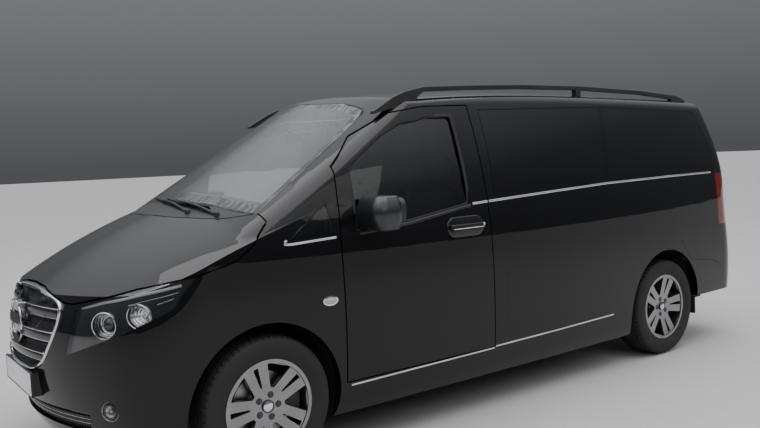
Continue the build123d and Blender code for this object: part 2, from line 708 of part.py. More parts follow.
# Brake disc with its hat and the hub that runs on the stub axle
with BuildPart() as disc:
    add(axle_bar(0, 0, disc_radius, 2, 24))
    add(axle_bar(0, 0, 82, 2, wheel_offset))
    add(axle_bar(0, 0, 76, 0, wheel_offset - 8), mode=Mode.SUBTRACT)
    add(axle_bar(0, 0, hub_radius, -28, wheel_offset))
    add(axle_bar(0, 0, axle_radius + running_gap, -40, wheel_offset - 6), mode=Mode.SUBTRACT)

WHEELS = [
    # name, axle x, track, turn of the spokes
    ("front", front_axle_x, front_track, 0),
    ("rear", rear_axle_x, rear_track, 36),
]
for axle, x, track, turn in WHEELS:
    for part, piece in (("tyre", tyre), ("rim", rim), ("brake_disc", disc)):
        placed = piece.part.rotate(Axis.Y, turn).moved(Location((x, track / 2, tyre_radius)))
        for hand, body in (("left", placed), ("right", other_side(placed))):
            body.label = f"{part}_{axle}_{hand}"
            export_step(body, f"parts/{body.label}.step")

# Caliper over the disc, about the wheel centre, behind the axle
with BuildPart() as caliper:
    add(axle_bar(0, 0, disc_radius + 34, -28, wheel_offset - 6))
    add([axle_bar(0, 0, 92, -60, 100), block(-90, 300, -60, 100, -300, 300),
         block(-300, 300, -60, 100, 75, 300), block(-300, 300, -60, 100, -300, -75)], mode=Mode.SUBTRACT)
    add(axle_bar(0, 0, disc_radius + 6, -4, 30), mode=Mode.SUBTRACT)

# Front knuckles: upright on the kingpin, stub axle and caliper
carrier_y = kingpin_y - front_track / 2
upright_half = 105
pin_reach = 36
with BuildPart() as knuckle:
    add(block(-30, 30, carrier_y - 25, carrier_y + 25, -upright_half, upright_half))
    add(axle_bar(0, 0, 55, carrier_y - 25, -34))
    add(axle_bar(0, 0, axle_radius, -40, wheel_offset - 12))
    add(block(-140, -20, carrier_y + 5, -28, -40, 40))
    add(caliper.part)
    with Locations((0, carrier_y, upright_half - pin_reach / 2),
                   (0, carrier_y, pin_reach / 2 - upright_half)):
        Cylinder(kingpin_radius + running_gap, pin_reach + 4, mode=Mode.SUBTRACT)
knuckle_left = knuckle.part.moved(Location((front_axle_x, front_track / 2, tyre_radius)))

# Fixed front suspension: cross member, arms and struts that carry the kingpins
arm_gap = 6
arm_depth = 20
lower_arm_top = tyre_radius - upright_half - arm_gap
upper_arm_foot = tyre_radius + upright_half + arm_gap
strut_y = 610
strut_radius = 42
liner_inside = axle_bar(front_axle_x, tyre_radius, liner_radius, -1300, 1300)
lower_arm = plan([(front_axle_x - 110, 380), (front_axle_x + 110, 380), (front_axle_x + 32, kingpin_y),
                  (front_axle_x - 32, kingpin_y)], lower_arm_top - arm_depth, arm_depth)
upper_arm = plan([(front_axle_x - 80, 500), (front_axle_x + 80, 500), (front_axle_x + 80, 660),
                  (front_axle_x + 28, kingpin_y), (front_axle_x - 28, kingpin_y), (front_axle_x - 80, 660)],
                 upper_arm_foot, arm_depth)
with BuildPart() as arms:
    add(lower_arm)
    add(upper_arm)
    with Locations((front_axle_x, kingpin_y, lower_arm_top - arm_depth / 2),
                   (front_axle_x, kingpin_y, upper_arm_foot + arm_depth / 2)):
        Cylinder(30, arm_depth)
    with Locations((front_axle_x, strut_y, upper_arm_foot)):
        Cylinder(strut_radius + 10, 60, mode=Mode.SUBTRACT)
    with Locations((front_axle_x, kingpin_y, lower_arm_top + pin_reach / 2),
                   (front_axle_x, kingpin_y, upper_arm_foot - pin_reach / 2)):
        Cylinder(kingpin_radius, pin_reach)
with BuildPart() as strut:
    with Locations((front_axle_x, strut_y, (lower_arm_top + 900) / 2)):
        Cylinder(strut_radius, 900 - lower_arm_top)
    add(liner_inside, mode=Mode.INTERSECT)
with BuildPart() as front_suspension:
    add(block(front_axle_x - 75, front_axle_x + 75, -420, 420, 170, 240))
    for y in (-380, 380):
        add(block(front_axle_x - 60, front_axle_x + 60, y - 40, y + 40, 240, rail_high))
    for half in (arms.part, strut.part):
        add(half)
        add(other_side(half))

# Rear axle beam with trailing arms, springs, stub axles and calipers
with BuildPart() as rear_half:
    add(axle_bar(0, 0, 45, -rear_track / 2, -100))
    add(axle_bar(0, 0, 55, -150, -34))
    add(axle_bar(0, 0, axle_radius, -40, wheel_offset - 12))
    add(block(-140, -20, -68, -28, -40, 40))
    add(caliper.part)
rear_half_left = rear_half.part.moved(Location((rear_axle_x, rear_track / 2, tyre_radius)))
with BuildPart() as rear_axle:
    add(rear_half_left)
    add(other_side(rear_half_left))
    for y in (-540, 540):
        add(block(rear_axle_x, rear_axle_x + 520, y - 25, y + 25, 300, 360))
        with Locations((rear_axle_x, y, (tyre_radius + load_low) / 2)):
            Cylinder(37, load_low - tyre_radius)
    for y in (-520, 520):
        add(block(rear_axle_x + 490, rear_axle_x + 550, y - 20, y + 20, 300, 430))

# Fuel tank, exhaust and mudflaps
with BuildPart() as fuel_tank:
    add(block(-850, -50, -60, 400, 250, load_low))
    fillet(fuel_tank.edges().filter_by(Axis.X), 30)
    fillet(fuel_tank.faces().sort_by(Axis.Z)[0].edges(), 12)
exhaust_y = -250
with BuildPart() as exhaust:
    add(block(-2200, -1780, exhaust_y - 130, exhaust_y + 130, 215, 345))
    fillet(exhaust.edges().filter_by(Axis.X), 40)
    with Locations(Location(((firewall_x - 2420) / 2, exhaust_y, 250), (0, 90, 0))):
        Cylinder(28, firewall_x + 2420 - 60)
    add(block(1000, 1030, exhaust_y - 12, exhaust_y + 12, 260, floor_low))
    add(block(300, 330, exhaust_y - 12, exhaust_y + 12, 260, floor_low))
    add(block(-2000, -1970, exhaust_y - 12, exhaust_y + 12, 330, load_low))
with BuildPart() as mudflap:
    add(block(rear_axle_x - 378, rear_axle_x - 368, 700, 930, 235, rear_bumper_foot))
    add(block(rear_axle_x - 450, rear_axle_x - 368, 880, 930, rear_bumper_foot - 12, rear_bumper_foot))
with BuildPart() as mudflaps:
    add(mudflap.part)
    add(other_side(mudflap.part))

# Bulkhead, load deck, dashboard with column, seats
with BuildPart() as bulkhead:
    add(common(inner, block(bulkhead_x, bulkhead_x + 25, -1300, 1300, floor_z, 2000)))
    add(block(0, 300, -430, 430, 1180, 1520), mode=Mode.SUBTRACT)
deck_high = load_floor_z + 35
anchor_radius = 5.5
with BuildPart() as load_deck:
    add(block(-2150, 60, -560, 560, load_floor_z, deck_high))
    for y in (-545, 545):
        add(block(-2150, 60, y - 15, y + 15, deck_high, deck_high + 45))
    with Locations(*[Location((x, 0, deck_high), (90, 0, 0)) for x in range(-2000, 0, 300)]):
        Cylinder(14, 900)
    with Locations(*[(x, y, load_floor_z + 18) for x in (-1700, -400) for y in (-200, 200)]):
        Cylinder(anchor_radius, 60, mode=Mode.SUBTRACT)
wheel_at = (880, 430, 1075)
column_tilt = 27
DASH_LINE = [
    (firewall_x, 760), (firewall_x, 1140), (1350, 1200), (1130, 1150), (1000, 1090), (985, 1000),
    (1060, 900), (1120, 780),
]
column_end = Location(wheel_at, (0, column_tilt - 90, 0))
with BuildPart() as dashboard:
    add(side(DASH_LINE, y_from=830, depth=1660))
    fillet(dashboard.edges().filter_by(Axis.Y).sort_by(Axis.X)[0:2], 20)
    with Locations(column_end * Location((0, 0, -126))):
        Cylinder(26, 200)
    with Locations(column_end * Location((0, 0, -60))):
        Cylinder(10, 130)
with BuildPart() as steering_wheel:
    with Locations(column_end):
        Torus(185, 15)
        Cylinder(34, 40)
        for turn in (0, 180, 270):
            with Locations(Location((0, 0, 0), (0, 0, turn)) * Location((105, 0, 0))):
                Box(150, 34, 14)
    with Locations(column_end * Location((0, 0, -20 + 13))):
        Cylinder(10 + running_gap, 30, mode=Mode.SUBTRACT)
seat_y = 430
with BuildPart() as seat_base:
    add(block(320, 740, seat_y - 200, seat_y + 200, floor_z, 560))
    fillet(seat_base.edges().filter_by(Axis.Z), 30)
with BuildPart() as seat_pad:
    add(block(290, 800, seat_y - 245, seat_y + 245, 560, 690))
    fillet(seat_pad.edges(), 40)
with BuildPart() as seat_back:
    with Locations(Location((248, seat_y, 990), (0, -11, 0))):
        Box(110, 480, 640)
    fillet(seat_back.edges(), 35)
    add(seat_pad.part, mode=Mode.SUBTRACT)
with BuildPart() as headrest:
    with Locations(Location((168, seat_y, 1410), (0, -11, 0))):
        Box(80, 260, 170)
    fillet(headrest.edges(), 30)
    with Locations(*[Location((190, seat_y + y, 1310), (0, -11, 0)) for y in (-60, 60)]):
        Cylinder(7, 120)
    add(seat_back.part, mode=Mode.SUBTRACT)

PIECES = [
    ("body_side_left", body_side_left.part), ("body_side_right", other_side(open_side)),
    ("sliding_door_right", other_side(sliding_panel.part)), ("roof_panel", roof_panel.part),
    ("floor_pan", floor_pan.part), ("firewall", firewall.part), ("rear_housings", rear_housings.part),
    ("frame_rails", frame_rails.part), ("front_wing_left", wing_left.part),
    ("front_wing_right", other_side(wing_left.part)), ("bonnet", bonnet.part),
    ("front_bumper", front_bumper.part), ("grille", grille_whole.part), ("windscreen", windscreen.part),
    ("cowl", cowl.part), ("quarter_glass", quarter_glass.part), ("rear_bumper", rear_bumper.part),
    ("roof_rails", roof_rails.part), ("tailgate", tailgate.part), ("tailgate_glass", tailgate_glass.part),
    ("door_left", door_left.part), ("door_right", other_side(door_left.part)),
    ("door_glass_left", door_glass_left.part), ("door_glass_right", other_side(door_glass_left.part)),
    ("mirror_left", mirror_left.part), ("mirror_right", other_side(mirror_left.part)),
    ("front_frame", front_frame.part), ("engine_block", engine.part),
    ("front_suspension", front_suspension.part), ("knuckle_left", knuckle_left),
    ("knuckle_right", other_side(knuckle_left)), ("rear_axle", rear_axle.part),
    ("fuel_tank", fuel_tank.part), ("exhaust", exhaust.part), ("mudflaps", mudflaps.part),
    ("bulkhead", bulkhead.part),
    ("load_deck", load_deck.part), ("dashboard", dashboard.part), ("steering_wheel", steering_wheel.part),
]
# Pieces that share a node with their like on the other side
PAIRS = [
    ("headlamps", headlamp_left), ("headlamp_lenses", headlamp_lens), ("tail_lamps", tail_lamp_left),
    ("side_glass", side_glass_left),
    ("seat_bases", seat_base), ("seat_pads", seat_pad), ("seat_backs", seat_back), ("headrests", headrest),
]
for name, piece in PAIRS:
    with BuildPart() as both:
        add(piece.part)
        add(other_side(piece.part))
    PIECES.append((name, both.part))
for name, solid in PIECES:
    solid.label = name
    export_step(solid, f"parts/{name}.step")
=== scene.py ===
"""Looks of a black long-van hearse: finishes of every panel, tyre treads, lamps, grille, trim, cabin and studio.

Metres throughout, X forward, Y to the vehicle's left, Z up, origin on the ground under the middle of the body.
"""

import json
import logging
import math
from dataclasses import dataclass, field
from enum import Enum

import bpy
import numpy as np
from mathutils import Matrix, Vector
from mathutils.bvhtree import BVHTree

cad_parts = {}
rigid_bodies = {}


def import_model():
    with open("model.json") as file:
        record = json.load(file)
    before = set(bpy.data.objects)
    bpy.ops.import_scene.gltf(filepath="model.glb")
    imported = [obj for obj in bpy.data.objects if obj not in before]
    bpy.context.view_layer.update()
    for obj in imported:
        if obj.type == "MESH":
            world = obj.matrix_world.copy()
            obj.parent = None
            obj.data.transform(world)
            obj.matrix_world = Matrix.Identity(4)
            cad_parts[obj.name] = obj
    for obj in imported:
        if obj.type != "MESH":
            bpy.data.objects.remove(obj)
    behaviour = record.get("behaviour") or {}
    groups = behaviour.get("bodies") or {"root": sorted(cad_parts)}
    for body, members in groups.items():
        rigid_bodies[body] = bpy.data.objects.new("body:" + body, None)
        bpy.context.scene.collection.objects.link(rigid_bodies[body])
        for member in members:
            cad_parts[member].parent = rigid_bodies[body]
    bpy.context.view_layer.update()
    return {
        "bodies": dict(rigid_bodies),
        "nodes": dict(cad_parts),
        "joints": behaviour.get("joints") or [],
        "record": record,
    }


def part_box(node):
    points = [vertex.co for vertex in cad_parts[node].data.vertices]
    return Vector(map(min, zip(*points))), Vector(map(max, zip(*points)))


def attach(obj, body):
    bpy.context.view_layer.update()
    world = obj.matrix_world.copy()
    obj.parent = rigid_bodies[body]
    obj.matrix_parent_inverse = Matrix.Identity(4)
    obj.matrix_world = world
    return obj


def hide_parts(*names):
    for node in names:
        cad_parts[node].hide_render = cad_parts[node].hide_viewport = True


LOG = logging.getLogger("hearse")
Colour = tuple[float, float, float]
Point = tuple[float, float, float]
Pair = tuple[float, float]
Array = np.ndarray
Socket = bpy.types.NodeSocket

AHEAD = np.array([1.0, 0.0, 0.0])
ASTERN = np.array([-1.0, 0.0, 0.0])
LEFTWARDS = np.array([0.0, 1.0, 0.0])
UPWARDS = np.array([0.0, 0.0, 1.0])
WELD_DISTANCE = 2e-5
CREASE_ANGLE = 28.0
CROWN_POINTS = 7
CORNER_STEPS = 7
RECT_CORNER_POINTS = 8
CAST_START_SIDE = 1.6
CAST_START_ENDS = 3.2
LOAD_MIDDLE = (-2.0, 0.0)
SENSOR_WIDTH = 36.0


class Side(Enum):
    """Side of the vehicle, with the sign of Y there."""

    LEFT = 1
    RIGHT = -1

    @property
    def word(self) -> str:
        """The side in lower case."""
        return self.name.lower()


class Axle(Enum):
    """Which axle a wheel is on."""

    FRONT = "front"
    REAR = "rear"


# Mesh building


def grid_faces(rows: int, columns: int, closed_rows: bool, closed_columns: bool) -> Array:
    """Corner indices of the quads of a grid of points.

    Args:
        rows: number of points along the first parameter.
        columns: number of points along the second parameter.
        closed_rows: whether the last row joins the first.
        closed_columns: whether the last column joins the first.

    Returns:
        Array of quads, four indices each.
    """
    i = np.arange(rows if closed_rows else rows - 1)[:, None]
    j = np.arange(columns if closed_columns else columns - 1)[None, :]
    i_next = (i + 1) % rows
    j_next = (j + 1) % columns
    quads = np.stack([i * columns + j + 0 * i_next, i_next * columns + j, i_next * columns + j_next,
                      i * columns + j_next], axis=-1)
    return quads.reshape(-1, 4)


@dataclass
class Shape:
    """Vertices and polygons being gathered for one piece."""

    points: list[Array] = field(default_factory=list)
    faces: list[Array] = field(default_factory=list)
    count: int = 0

    def add(self, points: Array, faces: Array) -> "Shape":
        """Adds vertices (n, 3) and faces (m, k) that index them. Returns itself."""
        self.points.append(points.reshape(-1, 3))
        self.faces.append(faces + self.count)
        self.count += len(self.points[-1])
        return self

    def grid(self, points: Array, closed_rows: bool = False, closed_columns: bool = False,
             flip: bool = False, caps: bool = False) -> "Shape":
        """Adds a surface given on a grid of two parameters.

        Args:
            points: array (rows, columns, 3).
            closed_rows: whether the surface closes along rows.
            closed_columns: whether the surface closes along columns.
            flip: whether the faces turn over.
            caps: whether the first and last rows are closed with a fan, for a tube along the rows.

        Returns:
            The shape itself.
        """
        rows, columns = points.shape[:2]
        quads = grid_faces(rows, columns, closed_rows, closed_columns)
        self.add(points, quads[:, ::-1] if flip else quads)
        if caps:
            start = self.count - rows * columns
            ring = np.arange(columns)
            for first, forward in ((start, flip), (start + (rows - 1) * columns, not flip)):
                middle = points[0 if first == start else -1].mean(axis=0)
                index = self.count
                fan = np.stack([first + ring, first + (ring + 1) % columns, np.full(columns, index)], axis=-1)
                self.points.append(middle[None, :])
                self.faces.append(fan if forward else fan[:, ::-1])
                self.count += 1
        return self

    def turned(self, profile: Array, centre: Array, axis: Array, segments: int, ring: bool = False) -> "Shape":
        """Adds a profile turned about an axis; a ring's profile closes on itself. Returns itself."""
        return self.grid(revolved(profile, centre, axis, segments), ring, True)

    def piped(self, path: Array, radius: float | Array, sides: int = 10, up: Point = (0.0, 0.0, 1.0),
              caps: bool = True) -> "Shape":
        """Adds a round tube along a path, with its ends closed where caps is set. Returns itself."""
        return self.grid(tube(path, radius, sides, up), closed_columns=True, caps=caps)

    def raised(self, path: Array, normals: Array, width: float, height: float, sink: float = 0.001) -> "Shape":
        """Adds a trim along an open path on a surface, with its ends closed. Returns itself."""
        return self.grid(strip(path, normals, width, height, sink), closed_columns=True, caps=True)

    def tile(self, centre: Array, across: Array, out: Array, size: Pair, radius: float,
             profile: tuple[Pair, ...]) -> "Shape":
        """Adds a rounded rectangular plaque. Returns itself."""
        return self.grid(plaque(centre, across, out, size, radius, profile), closed_columns=True)

    def build(self, name: str, material: bpy.types.Material, smooth: bool = True,
              angle: float = 35.0) -> bpy.types.Object:
        """Makes the mesh object.

        Args:
            name: name of the piece.
            material: its finish.
            smooth: whether faces are shaded smooth.
            angle: edges sharper than this many degrees stay crisp.

        Returns:
            The new object, at the origin with its place in its mesh.
        """
        points = np.concatenate(self.points)
        mesh = bpy.data.meshes.new(name)
        sizes = np.concatenate([np.full(len(f), f.shape[1]) for f in self.faces])
        corners = np.concatenate([f.ravel() for f in self.faces])
        mesh.vertices.add(len(points))
        mesh.vertices.foreach_set("co", points.astype(np.float32).ravel())
        mesh.loops.add(len(corners))
        mesh.loops.foreach_set("vertex_index", corners.astype(np.int32))
        mesh.polygons.add(len(sizes))
        starts = np.concatenate([[0], np.cumsum(sizes)[:-1]])
        mesh.polygons.foreach_set("loop_start", starts.astype(np.int32))
        mesh.update(calc_edges=True)
        mesh.validate()
        if smooth:
            mesh.polygons.foreach_set("use_smooth", np.ones(len(mesh.polygons), bool))
            mesh.set_sharp_from_angle(angle=math.radians(angle))
        mesh.materials.append(material)
        made = bpy.data.objects.new(name, mesh)
        bpy.context.scene.collection.objects.link(made)
        return made


def face_vectors(mesh: bpy.types.Mesh) -> tuple[Array, Array]:
    """Normals and middles of a mesh's polygons, both (n, 3)."""
    normals, centres = np.zeros(len(mesh.polygons) * 3), np.zeros(len(mesh.polygons) * 3)
    mesh.polygons.foreach_get("normal", normals)
    mesh.polygons.foreach_get("center", centres)
    return normals.reshape(-1, 3), centres.reshape(-1, 3)


def hang(body: str, *pieces: bpy.types.Object) -> None:
    """Lets finished pieces ride a body of the frame, and reports each of them."""
    for piece in pieces:
        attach(piece, body)
        LOG.info("%s rides %s", piece.name, body)


def unit(v: Array) -> Array:
    """Vectors scaled to length one along the last axis."""
    return v / np.maximum(np.linalg.norm(v, axis=-1, keepdims=True), 1e-12)


def circle(count: int, turn: float = 0.0) -> Array:
    """Points (count, 2) round the unit circle: cosine and sine of evenly spaced angles."""
    a = np.arange(count) / count * 2 * np.pi + turn
    return np.stack([np.cos(a), np.sin(a)], axis=-1)


def revolved(profile: Array, centre: Array, axis: Array, segments: int = 64) -> Array:
    """Surface of revolution: profile (radius, height along the axis) turned about the axis.

    Args:
        profile: array (n, 2) of radius and height.
        centre: point on the axis at height zero.
        axis: direction of the axis.
        segments: steps round the axis.

    Returns:
        Grid (n, segments, 3), closed along its columns.
    """
    axis = unit(np.asarray(axis, float))
    helper = UPWARDS if abs(axis[2]) < 0.9 else AHEAD
    e1 = unit(np.cross(axis, helper))
    e2 = np.cross(axis, e1)
    ring = circle(segments)
    around = ring[:, :1] * e1 + ring[:, 1:] * e2
    return np.asarray(centre) + profile[:, None, :1] * around[None] + profile[:, None, 1:] * axis


def ring_profile(radius: float, lift: float, wide: float, high: float, count: int = 12) -> Array:
    """Profile (count, 2) of a ring with an oval section: its middle, then its half sizes."""
    a = circle(count)
    return np.stack([radius + wide * a[:, 0], lift + high * a[:, 1]], axis=-1)


def dome_profile(radius: float, base: float, rise: float, count: int = 16, sweep: float = 90.0) -> Array:
    """Profile (count, 2) of a dome: part of an ellipse from the axis outwards, through a sweep in degrees."""
    t = np.linspace(0, math.radians(sweep), count)
    return np.stack([radius * np.sin(t), base + rise * np.cos(t)], axis=-1)


def along(path: Array, closed: bool = False) -> Array:
    """Unit tangents of a path: the difference of each point's neighbours, round the end if it is a loop."""
    return unit(np.roll(path, -1, 0) - np.roll(path, 1, 0) if closed else np.gradient(path, axis=0))


def tube(path: Array, radius: float | Array, sides: int = 10, up: Point = (0.0, 0.0, 1.0)) -> Array:
    """Round tube along a path: a circle carried square to the path's tangent.

    Args:
        path: array (n, 3).
        radius: radius, or one for each point.
        sides: points round the tube.
        up: direction that the circles' frames keep to.

    Returns:
        Grid (n, sides, 3), closed along its columns.
    """
    tangent = along(path)
    across = unit(np.cross(tangent, np.asarray(up)))
    over = np.cross(across, tangent)
    ring = circle(sides)
    size = np.broadcast_to(np.asarray(radius, float), (len(path),))[:, None, None]
    return path[:, None] + size * (ring[None, :, :1] * across[:, None] + ring[None, :, 1:] * over[:, None])


def strip(path: Array, normals: Array, width: float, height: float, sink: float = 0.001,
          closed: bool = False) -> Array:
    """Raised trim along a path on a surface: a flattened half-round profile carried along it.

    Args:
        path: array (n, 3) on the surface.
        normals: array (n, 3), outward from the surface.
        width: width of the trim.
        height: how far it stands proud.
        sink: how deep its edges go into the surface.
        closed: whether the path is a loop.

    Returns:
        Grid (n, CROWN_POINTS + 2, 3), closed along its columns.
    """
    normals = unit(normals)
    across = unit(np.cross(normals, along(path, closed)))
    angle = np.linspace(0, np.pi, CROWN_POINTS)
    wide = np.concatenate([[1.0], np.cos(angle), [-1.0]]) / 2
    high = np.concatenate([[-sink], height * np.sin(angle) ** 0.5, [-sink]])
    return path[:, None] + width * wide[None, :, None] * across[:, None] + high[None, :, None] * normals[:, None]


def resample(points: Array, step: float, closed: bool = False) -> Array:
    """Points at even steps along the straight runs of an outline.

    Args:
        points: array (n, k) of corners.
        step: distance between points.
        closed: whether the last corner joins the first.

    Returns:
        Array (m, k).
    """
    corners = np.vstack([points, points[:1]]) if closed else np.asarray(points, float)
    run = np.concatenate([[0], np.cumsum(np.linalg.norm(np.diff(corners, axis=0), axis=1))])
    count = max(int(run[-1] / step), 3)
    at = np.linspace(0, run[-1], count + 1)
    at = at[:-1] if closed else at
    return np.stack([np.interp(at, run, corners[:, k]) for k in range(corners.shape[1])], axis=-1)


def rounded(points: Array, radius: float, closed: bool = True) -> Array:
    """Outline with each corner replaced by a parabola that starts and ends a set distance from it.

    Args:
        points: array (n, k) of corners.
        radius: distance from the corner, at most 0.45 of the shorter run beside it.
        closed: whether the last corner joins the first.

    Returns:
        Array (m, k), with CORNER_STEPS points on each parabola.
    """
    out = np.asarray(points, float)
    before, after = np.roll(out, 1, 0) - out, np.roll(out, -1, 0) - out
    shorter = np.minimum(np.linalg.norm(before, axis=1), np.linalg.norm(after, axis=1))
    cut = np.minimum(radius, 0.45 * shorter)[:, None]
    start, end = out + unit(before) * cut, out + unit(after) * cut
    t = np.linspace(0, 1, CORNER_STEPS)[:, None]
    curves = [start[k] * (1 - t) ** 2 + 2 * out[k] * t * (1 - t) + end[k] * t ** 2 for k in range(len(out))]
    if not closed:
        curves[0], curves[-1] = out[:1], out[-1:]
    return np.vstack(curves)


class Skin:
    """Surface of some solids of the frame, to lay trim on."""

    def __init__(self, frame: dict, *nodes: str) -> None:
        """Gathers the nodes' triangles in one search tree.

        Args:
            nodes: names of the solids.
        """
        points, faces, base = [], [], 0
        for name in nodes:
            mesh = frame["nodes"][name].data
            mesh.calc_loop_triangles()
            co = np.zeros(len(mesh.vertices) * 3)
            mesh.vertices.foreach_get("co", co)
            tri = np.zeros(len(mesh.loop_triangles) * 3, np.int32)
            mesh.loop_triangles.foreach_get("vertices", tri)
            points.append(co.reshape(-1, 3))
            faces.append(tri.reshape(-1, 3) + base)
            base += len(points[-1])
        self.tree = BVHTree.FromPolygons(np.vstack(points).tolist(), np.vstack(faces).tolist())

    def cast(self, starts: Array, direction: Point) -> tuple[Array, Array]:
        """Where rays meet the surface first.

        Args:
            starts: array (n, 3) of ray starts.
            direction: the rays' direction.

        Returns:
            Points (n, 3) and outward normals (n, 3). A ray that misses takes the nearest point of the surface.
        """
        way = Vector(direction)
        hits = [self.tree.ray_cast(Vector(p), way) for p in starts]
        near = [h if h[0] is not None else self.tree.find_nearest(Vector(p)) for h, p in zip(hits, starts)]
        points = np.array([h[0] for h in near])
        normals = np.array([h[1] for h in near])
        normals = np.where((normals @ np.asarray(direction))[:, None] > 0, -normals, normals)
        return points, normals

    def from_side(self, side: Side, xz: Array) -> tuple[Array, Array]:
        """Points over a side-view outline (x, z), met from outside on one side."""
        starts = np.stack([xz[:, 0], np.full(len(xz), side.value * CAST_START_SIDE), xz[:, 1]], axis=-1)
        return self.cast(starts, (0, -side.value, 0))

    def from_front(self, yz: Array) -> tuple[Array, Array]:
        """Points over a front-view outline (y, z), met from ahead."""
        starts = np.stack([np.full(len(yz), CAST_START_ENDS), yz[:, 0], yz[:, 1]], axis=-1)
        return self.cast(starts, (-1, 0, 0))

    def from_behind(self, yz: Array) -> tuple[Array, Array]:
        """Points over a rear-view outline (y, z), met from behind."""
        starts = np.stack([np.full(len(yz), -CAST_START_ENDS), yz[:, 0], yz[:, 1]], axis=-1)
        return self.cast(starts, (1, 0, 0))


# Finishes


def tone(colour: Colour, factor: float, add: float = 0.0) -> Colour:
    """A colour made lighter or darker, at most 1 in each channel."""
    return tuple(min(c * factor + add, 1.0) for c in colour)


@dataclass
class Bench:
    """A new material under work: its node tree, its principled shader and the calls that wire them."""

    material: bpy.types.Material
    tree: bpy.types.NodeTree
    shader: bpy.types.Node

    def node(self, kind: str, **values: float) -> bpy.types.Node:
        """Adds a node and sets inputs by name, underscores standing for spaces."""
        made = self.tree.nodes.new(kind)
        for key, value in values.items():
            made.inputs[key.replace("_", " ")].default_value = value
        return made

    def fed(self, kind: str, slot: str | int, source: Socket, **values: float) -> bpy.types.Node:
        """Adds a node in the same way, with one input fed from a socket."""
        made = self.node(kind, **values)
        self.tree.links.new(source, made.inputs[slot])
        return made

    def surface(self, colour: Socket, roughness: Socket) -> None:
        """Feeds the shader's colour and roughness."""
        self.tree.links.new(colour, self.shader.inputs["Base Color"])
        self.tree.links.new(roughness, self.shader.inputs["Roughness"])

    def here(self) -> Socket:
        """Object coordinates."""
        return self.node("ShaderNodeTexCoord").outputs["Object"]

    def places(self, scale: Point = (1, 1, 1), shift: Point = (0, 0, 0)) -> Socket:
        """Object coordinates, moved and stretched by a Mapping node."""
        return self.fed("ShaderNodeMapping", "Vector", self.here(), Scale=scale, Location=shift).outputs["Vector"]

    def noise(self, scale: float, detail: float = 4.0, stretch: Point = (1, 1, 1)) -> Socket:
        """Noise over Object coordinates."""
        made = self.fed("ShaderNodeTexNoise", "Vector", self.places(stretch), Scale=scale, Detail=detail)
        return made.outputs["Fac"]

    def ramp(self, source: Socket, low: float, high: float, first: Colour, second: Colour) -> Socket:
        """Blend of two colours as a value goes from low to high.

        Args:
            source: socket that gives the value.
            low: value up to which the first colour stands.
            high: value from which the second colour stands.
            first: the first colour.
            second: the second colour.

        Returns:
            The blended colour's socket.
        """
        made = self.fed("ShaderNodeValToRGB", "Fac", source)
        for stop, position, colour in zip(made.color_ramp.elements, (low, high), (first, second)):
            stop.position = position
            stop.color = (*colour, 1)
        return made.outputs["Color"]

    def span(self, source: Socket, low: float, high: float) -> Socket:
        """A value from 0 to 1 spread to run from low to high."""
        return self.fed("ShaderNodeMapRange", "Value", source, To_Min=low, To_Max=high).outputs["Result"]

    def bump(self, source: Socket, strength: float, distance: float, coat: bool = False) -> None:
        """Bumps the surface by a value.

        Args:
            source: socket that gives the height.
            strength: how strongly it shows.
            distance: height at value 1, in metres.
            coat: whether the clear coat is bumped too.
        """
        made = self.fed("ShaderNodeBump", "Height", source, Strength=strength, Distance=distance)
        for target in ("Normal", "Coat Normal") if coat else ("Normal",):
            self.tree.links.new(made.outputs["Normal"], self.shader.inputs[target])


@dataclass(frozen=True)
class Finish:
    """Base of every finish: one principled shader, with colour, roughness and bump worked out by nodes."""

    name: str
    colour: Colour
    roughness: float = 0.5
    metallic: float = 0.0
    coat: float = 0.0
    coat_roughness: float = 0.03
    coat_ior: float = 1.5
    ior: float = 1.5
    transmission: float = 0.0
    mottle: float = 0.16

    def start(self) -> Bench:
        """A new material with its shader set.

        Returns:
            The bench that holds it.
        """
        material = bpy.data.materials.new(self.name)
        material.use_nodes = True
        shader = material.node_tree.nodes["Principled BSDF"]
        for slot, value in (("Base Color", (*self.colour, 1.0)), ("Roughness", self.roughness),
                            ("Metallic", self.metallic), ("Coat Weight", self.coat),
                            ("Coat Roughness", self.coat_roughness), ("Coat IOR", self.coat_ior),
                            ("IOR", self.ior), ("Transmission Weight", self.transmission)):
            shader.inputs[slot].default_value = value
        return Bench(material, material.node_tree, shader)

    def make(self) -> bpy.types.Material:
        """The finished material: fine mottling of colour and roughness with a slight grain.

        Returns:
            The new material.
        """
        bench = self.start()
        grain, wide = bench.noise(900.0, 3.0), bench.noise(6.0)
        colour = bench.ramp(wide, 0.3, 0.7, tone(self.colour, 1 - self.mottle), tone(self.colour, 1 + self.mottle))
        bench.surface(colour, bench.span(wide, self.roughness * 0.85, min(self.roughness * 1.15, 1.0)))
        bench.bump(grain, 0.08, 0.0004)
        return bench.material


